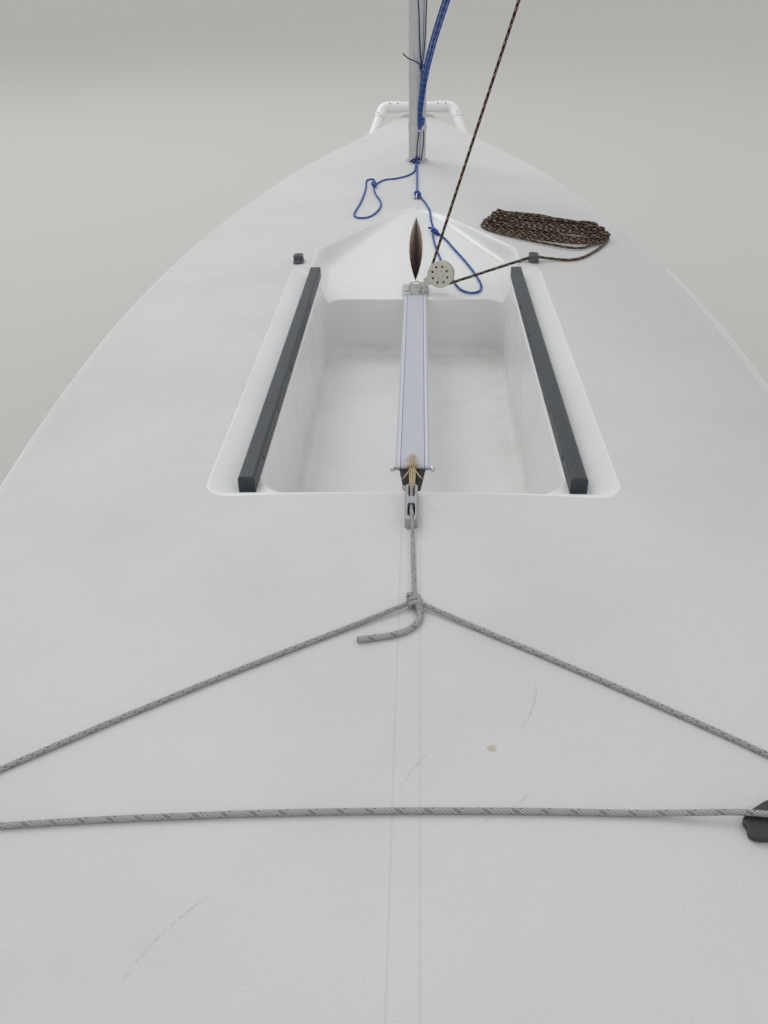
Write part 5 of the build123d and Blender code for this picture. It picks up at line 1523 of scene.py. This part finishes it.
def addSail(look):
    outs = spaced(0, 1, look["columns"])
    ups = spaced(0, 1, look["rows"])
    panel = sailPatch(outs, ups, look, look["cloth"], "sailcloth", "sail_panel")
    panel.data.materials.append(materials["clear_window"])
    left, right, foot, head = look["window"]
    for face in panel.data.polygons:
        i, k = divmod(face.vertices[0], len(outs))
        if left < outs[k] < right and foot < ups[i] < head:
            face.material_index = 1
    carried(panel, "rig")
    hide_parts("sail")
    tapes = [sailPatch(tapeOuts, tapeUps, look, thick) for tapeOuts, tapeUps, thick in tapePlan(look)]
    trim = carried(joined("sail_tapes", tapes), "rig")
    pockets = []
    for up, start in look["battens"]:
        edges = (up - 0.0052, up - 0.0040, up, up + 0.0040, up + 0.0052)
        pockets.append(sailPatch(spaced(start, 0.998, 24), edges, look, 0.0034))
        swell = (up - 0.0026, up, up + 0.0026)
        pockets.append(sailPatch(spaced(start + 0.01, 0.985, 24), swell, look, 0.0062, "sailcloth"))
    pocketPiece = carried(joined("batten_pockets", pockets), "rig")
    sleeve = carried(ribbon("sail_sleeve", sleeveRows(look), 0.001, "sailcloth"), "rig")
    upright = onRig(0, 0, 1) - onRig(0, 0, 0)
    top = turned("sail_cap", look["cap"], onRig(0, 0, look["base"] + look["luff"] - 1), upright, "sail_tape")
    carried(top, "rig")


# clew and tack eyelets with their lines
def addSailLines(look):
    clew, tack = (sailSpot(*place, look) for place in look["eyelets"])
    rings = [turned("ring", look["eyeletOutline"], spot, sparSide, "stainless") for spot in (clew, tack)]
    carried(joined("sail_eyelets", rings), "rig")
    boomEnd = onBoom(0, 12, look["outhaul"])
    along, out = look["clewTie"], look["tieRadius"]
    angles = [math.tau * k / 14 for k in range(29)]
    loop = [onBoom(out * math.sin(a), out * math.cos(a), along + 3 * a) for a in angles]
    plans = [
        ([clew + sparSide * 0.006, clew.lerp(boomEnd, 0.5) + Vector((0, 0, -0.004)), boomEnd], 10),
        (loop, 4),
        ([onBoom(0, 31, along + 10), onBoom(3, 45, along + 6), clew - sparSide * 0.006], 10),
        ([tack] + [onRig(*spot) for spot in look["tackTie"]], 10),
    ]
    lines = [strand(line, look["line"], "dark_blue_rope", resolution=resolution) for line, resolution in plans]
    carried(joined("sail_lines", lines), "rig")


addSail(sailCut)
addSailLines(sailCut)
print("sail made")

# Foam pads of the trolley, swollen a little between their ties
foamPad = {
    "voxel": 0.006, "swell": 0.0016, "lump": 0.0005, "sink": 0.0012, "seatDepth": 0.03, "smoothing": 0.6,
    "smoothings": 3, "fill": 0.9, "tieEnd": 0.03, "tieThick": 0.0018,
    "tieAt": (-34, 34), "tieWidth": 12, "tieRadius": 0.0436, "railHeight": -389,
}


# a swollen copy of a pad's mesh
def swollen(nodeName, look):
    source = addObject("pad_source", nodes[nodeName].data.copy())
    remesh = source.modifiers.new("voxels", "REMESH")
    remesh.mode = "VOXEL"
    remesh.voxel_size = look["voxel"]
    soften = source.modifiers.new("soften", "SMOOTH")
    soften.factor = look["smoothing"]
    soften.iterations = look["smoothings"]
    made = bpy.data.meshes.new_from_object(source.evaluated_get(bpy.context.evaluated_depsgraph_get()))
    bpy.data.objects.remove(source)
    low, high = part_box(nodeName)
    middle = (low + high) / 2
    for vertex in made.vertices:
        spot = vertex.co
        spread = (spot.x - middle.x) / max(high.x - middle.x, 1e-6)
        swell = look["swell"] * (math.cos(math.pi * 1.5 * spread) - 0.4)
        lumps = look["lump"] * math.sin(spot.x * 240 + spot.z * 170) * math.sin(spot.y * 210)
        if spot.z < high.z - look["seatDepth"]:
            vertex.co += vertex.normal * (swell * 0.5 + lumps - look["sink"])
    made.materials.clear()
    return made


# a tie from one side of the pad to the other, below the rail
def padTie(rail, look):
    rows = []
    for angle in (math.pi * (1 + k / 20) for k in range(21)):
        spoke = Vector((0, math.cos(angle), math.sin(angle))) * look["tieRadius"]
        rows.append([rail + spoke + Vector((w * look["tieWidth"] / 2000, 0, 0)) for w in (-1, -0.3, 0.3, 1)])
    ends = [[p + Vector((0, 0, look["tieEnd"])) for p in row] for row in (rows[0], rows[-1])]
    return ribbon("tie", [ends[0]] + rows + [ends[1]], look["tieThick"], "black_webbing")


def addPads(look):
    for place in ("front_port", "front_starboard", "rear_port", "rear_starboard"):
        nodeName = f"hull_pad_{place}"
        pad = addObject(f"foam_pad_{place}", swollen(nodeName, look), materials["foam"])
        carried(pad, "boat")
        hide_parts(nodeName)
        middle = (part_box(nodeName)[0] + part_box(nodeName)[1]) / 2
        station = (middle.y - boatDatum["transom"]) * 1000
        rails = [boat(middle.x * 1000 + offset, station, look["railHeight"]) for offset in look["tieAt"]]
        carried(joined(f"pad_ties_{place}", [padTie(rail, look) for rail in rails]), "boat")


addPads(foamPad)
print("foam pads made")

# Floor and light

studio = {
    "floorSize": 120.0,
    "floorColour": (0.56, 0.545, 0.51),
    "skyColour": (0.965, 0.98, 1.0),
    "skyStrength": 0.74,
    "lampPlace": (-4.0, 5.5, 9.5),
    "lampSize": 6.0,
    "lampPower": 300,
    "lampTarget": (0, 0, 0.7),
}


def addStudio(look):
    half = look["floorSize"] / 2
    corners = [(-half, -half, 0), (half, -half, 0), (half, half, 0), (-half, half, 0)]
    newMaterial("studioFloor", look["floorColour"], 0.9)
    meshFrom("studioFloor", corners, [(0, 1, 2, 3)], materials["studioFloor"], smooth=False)
    world = bpy.data.worlds.new("studioSky")
    bpy.context.scene.world = world
    world.use_nodes = True
    sky = world.node_tree.nodes["Background"]
    sky.inputs["Color"].default_value = (*look["skyColour"], 1)
    sky.inputs["Strength"].default_value = look["skyStrength"]
    lamp = bpy.data.lights.new("softLamp", "AREA")
    lamp.size = look["lampSize"]
    lamp.energy = look["lampPower"]
    lampObject = addObject("softLamp", lamp)
    lampObject.location = look["lampPlace"]
    lampObject.rotation_mode = "QUATERNION"
    toBoat = Vector(look["lampTarget"]) - Vector(look["lampPlace"])
    lampObject.rotation_quaternion = toBoat.to_track_quat("-Z", "Y")
    bpy.context.scene.view_settings.view_transform = "Standard"


addStudio(studio)
print("floor and light placed")
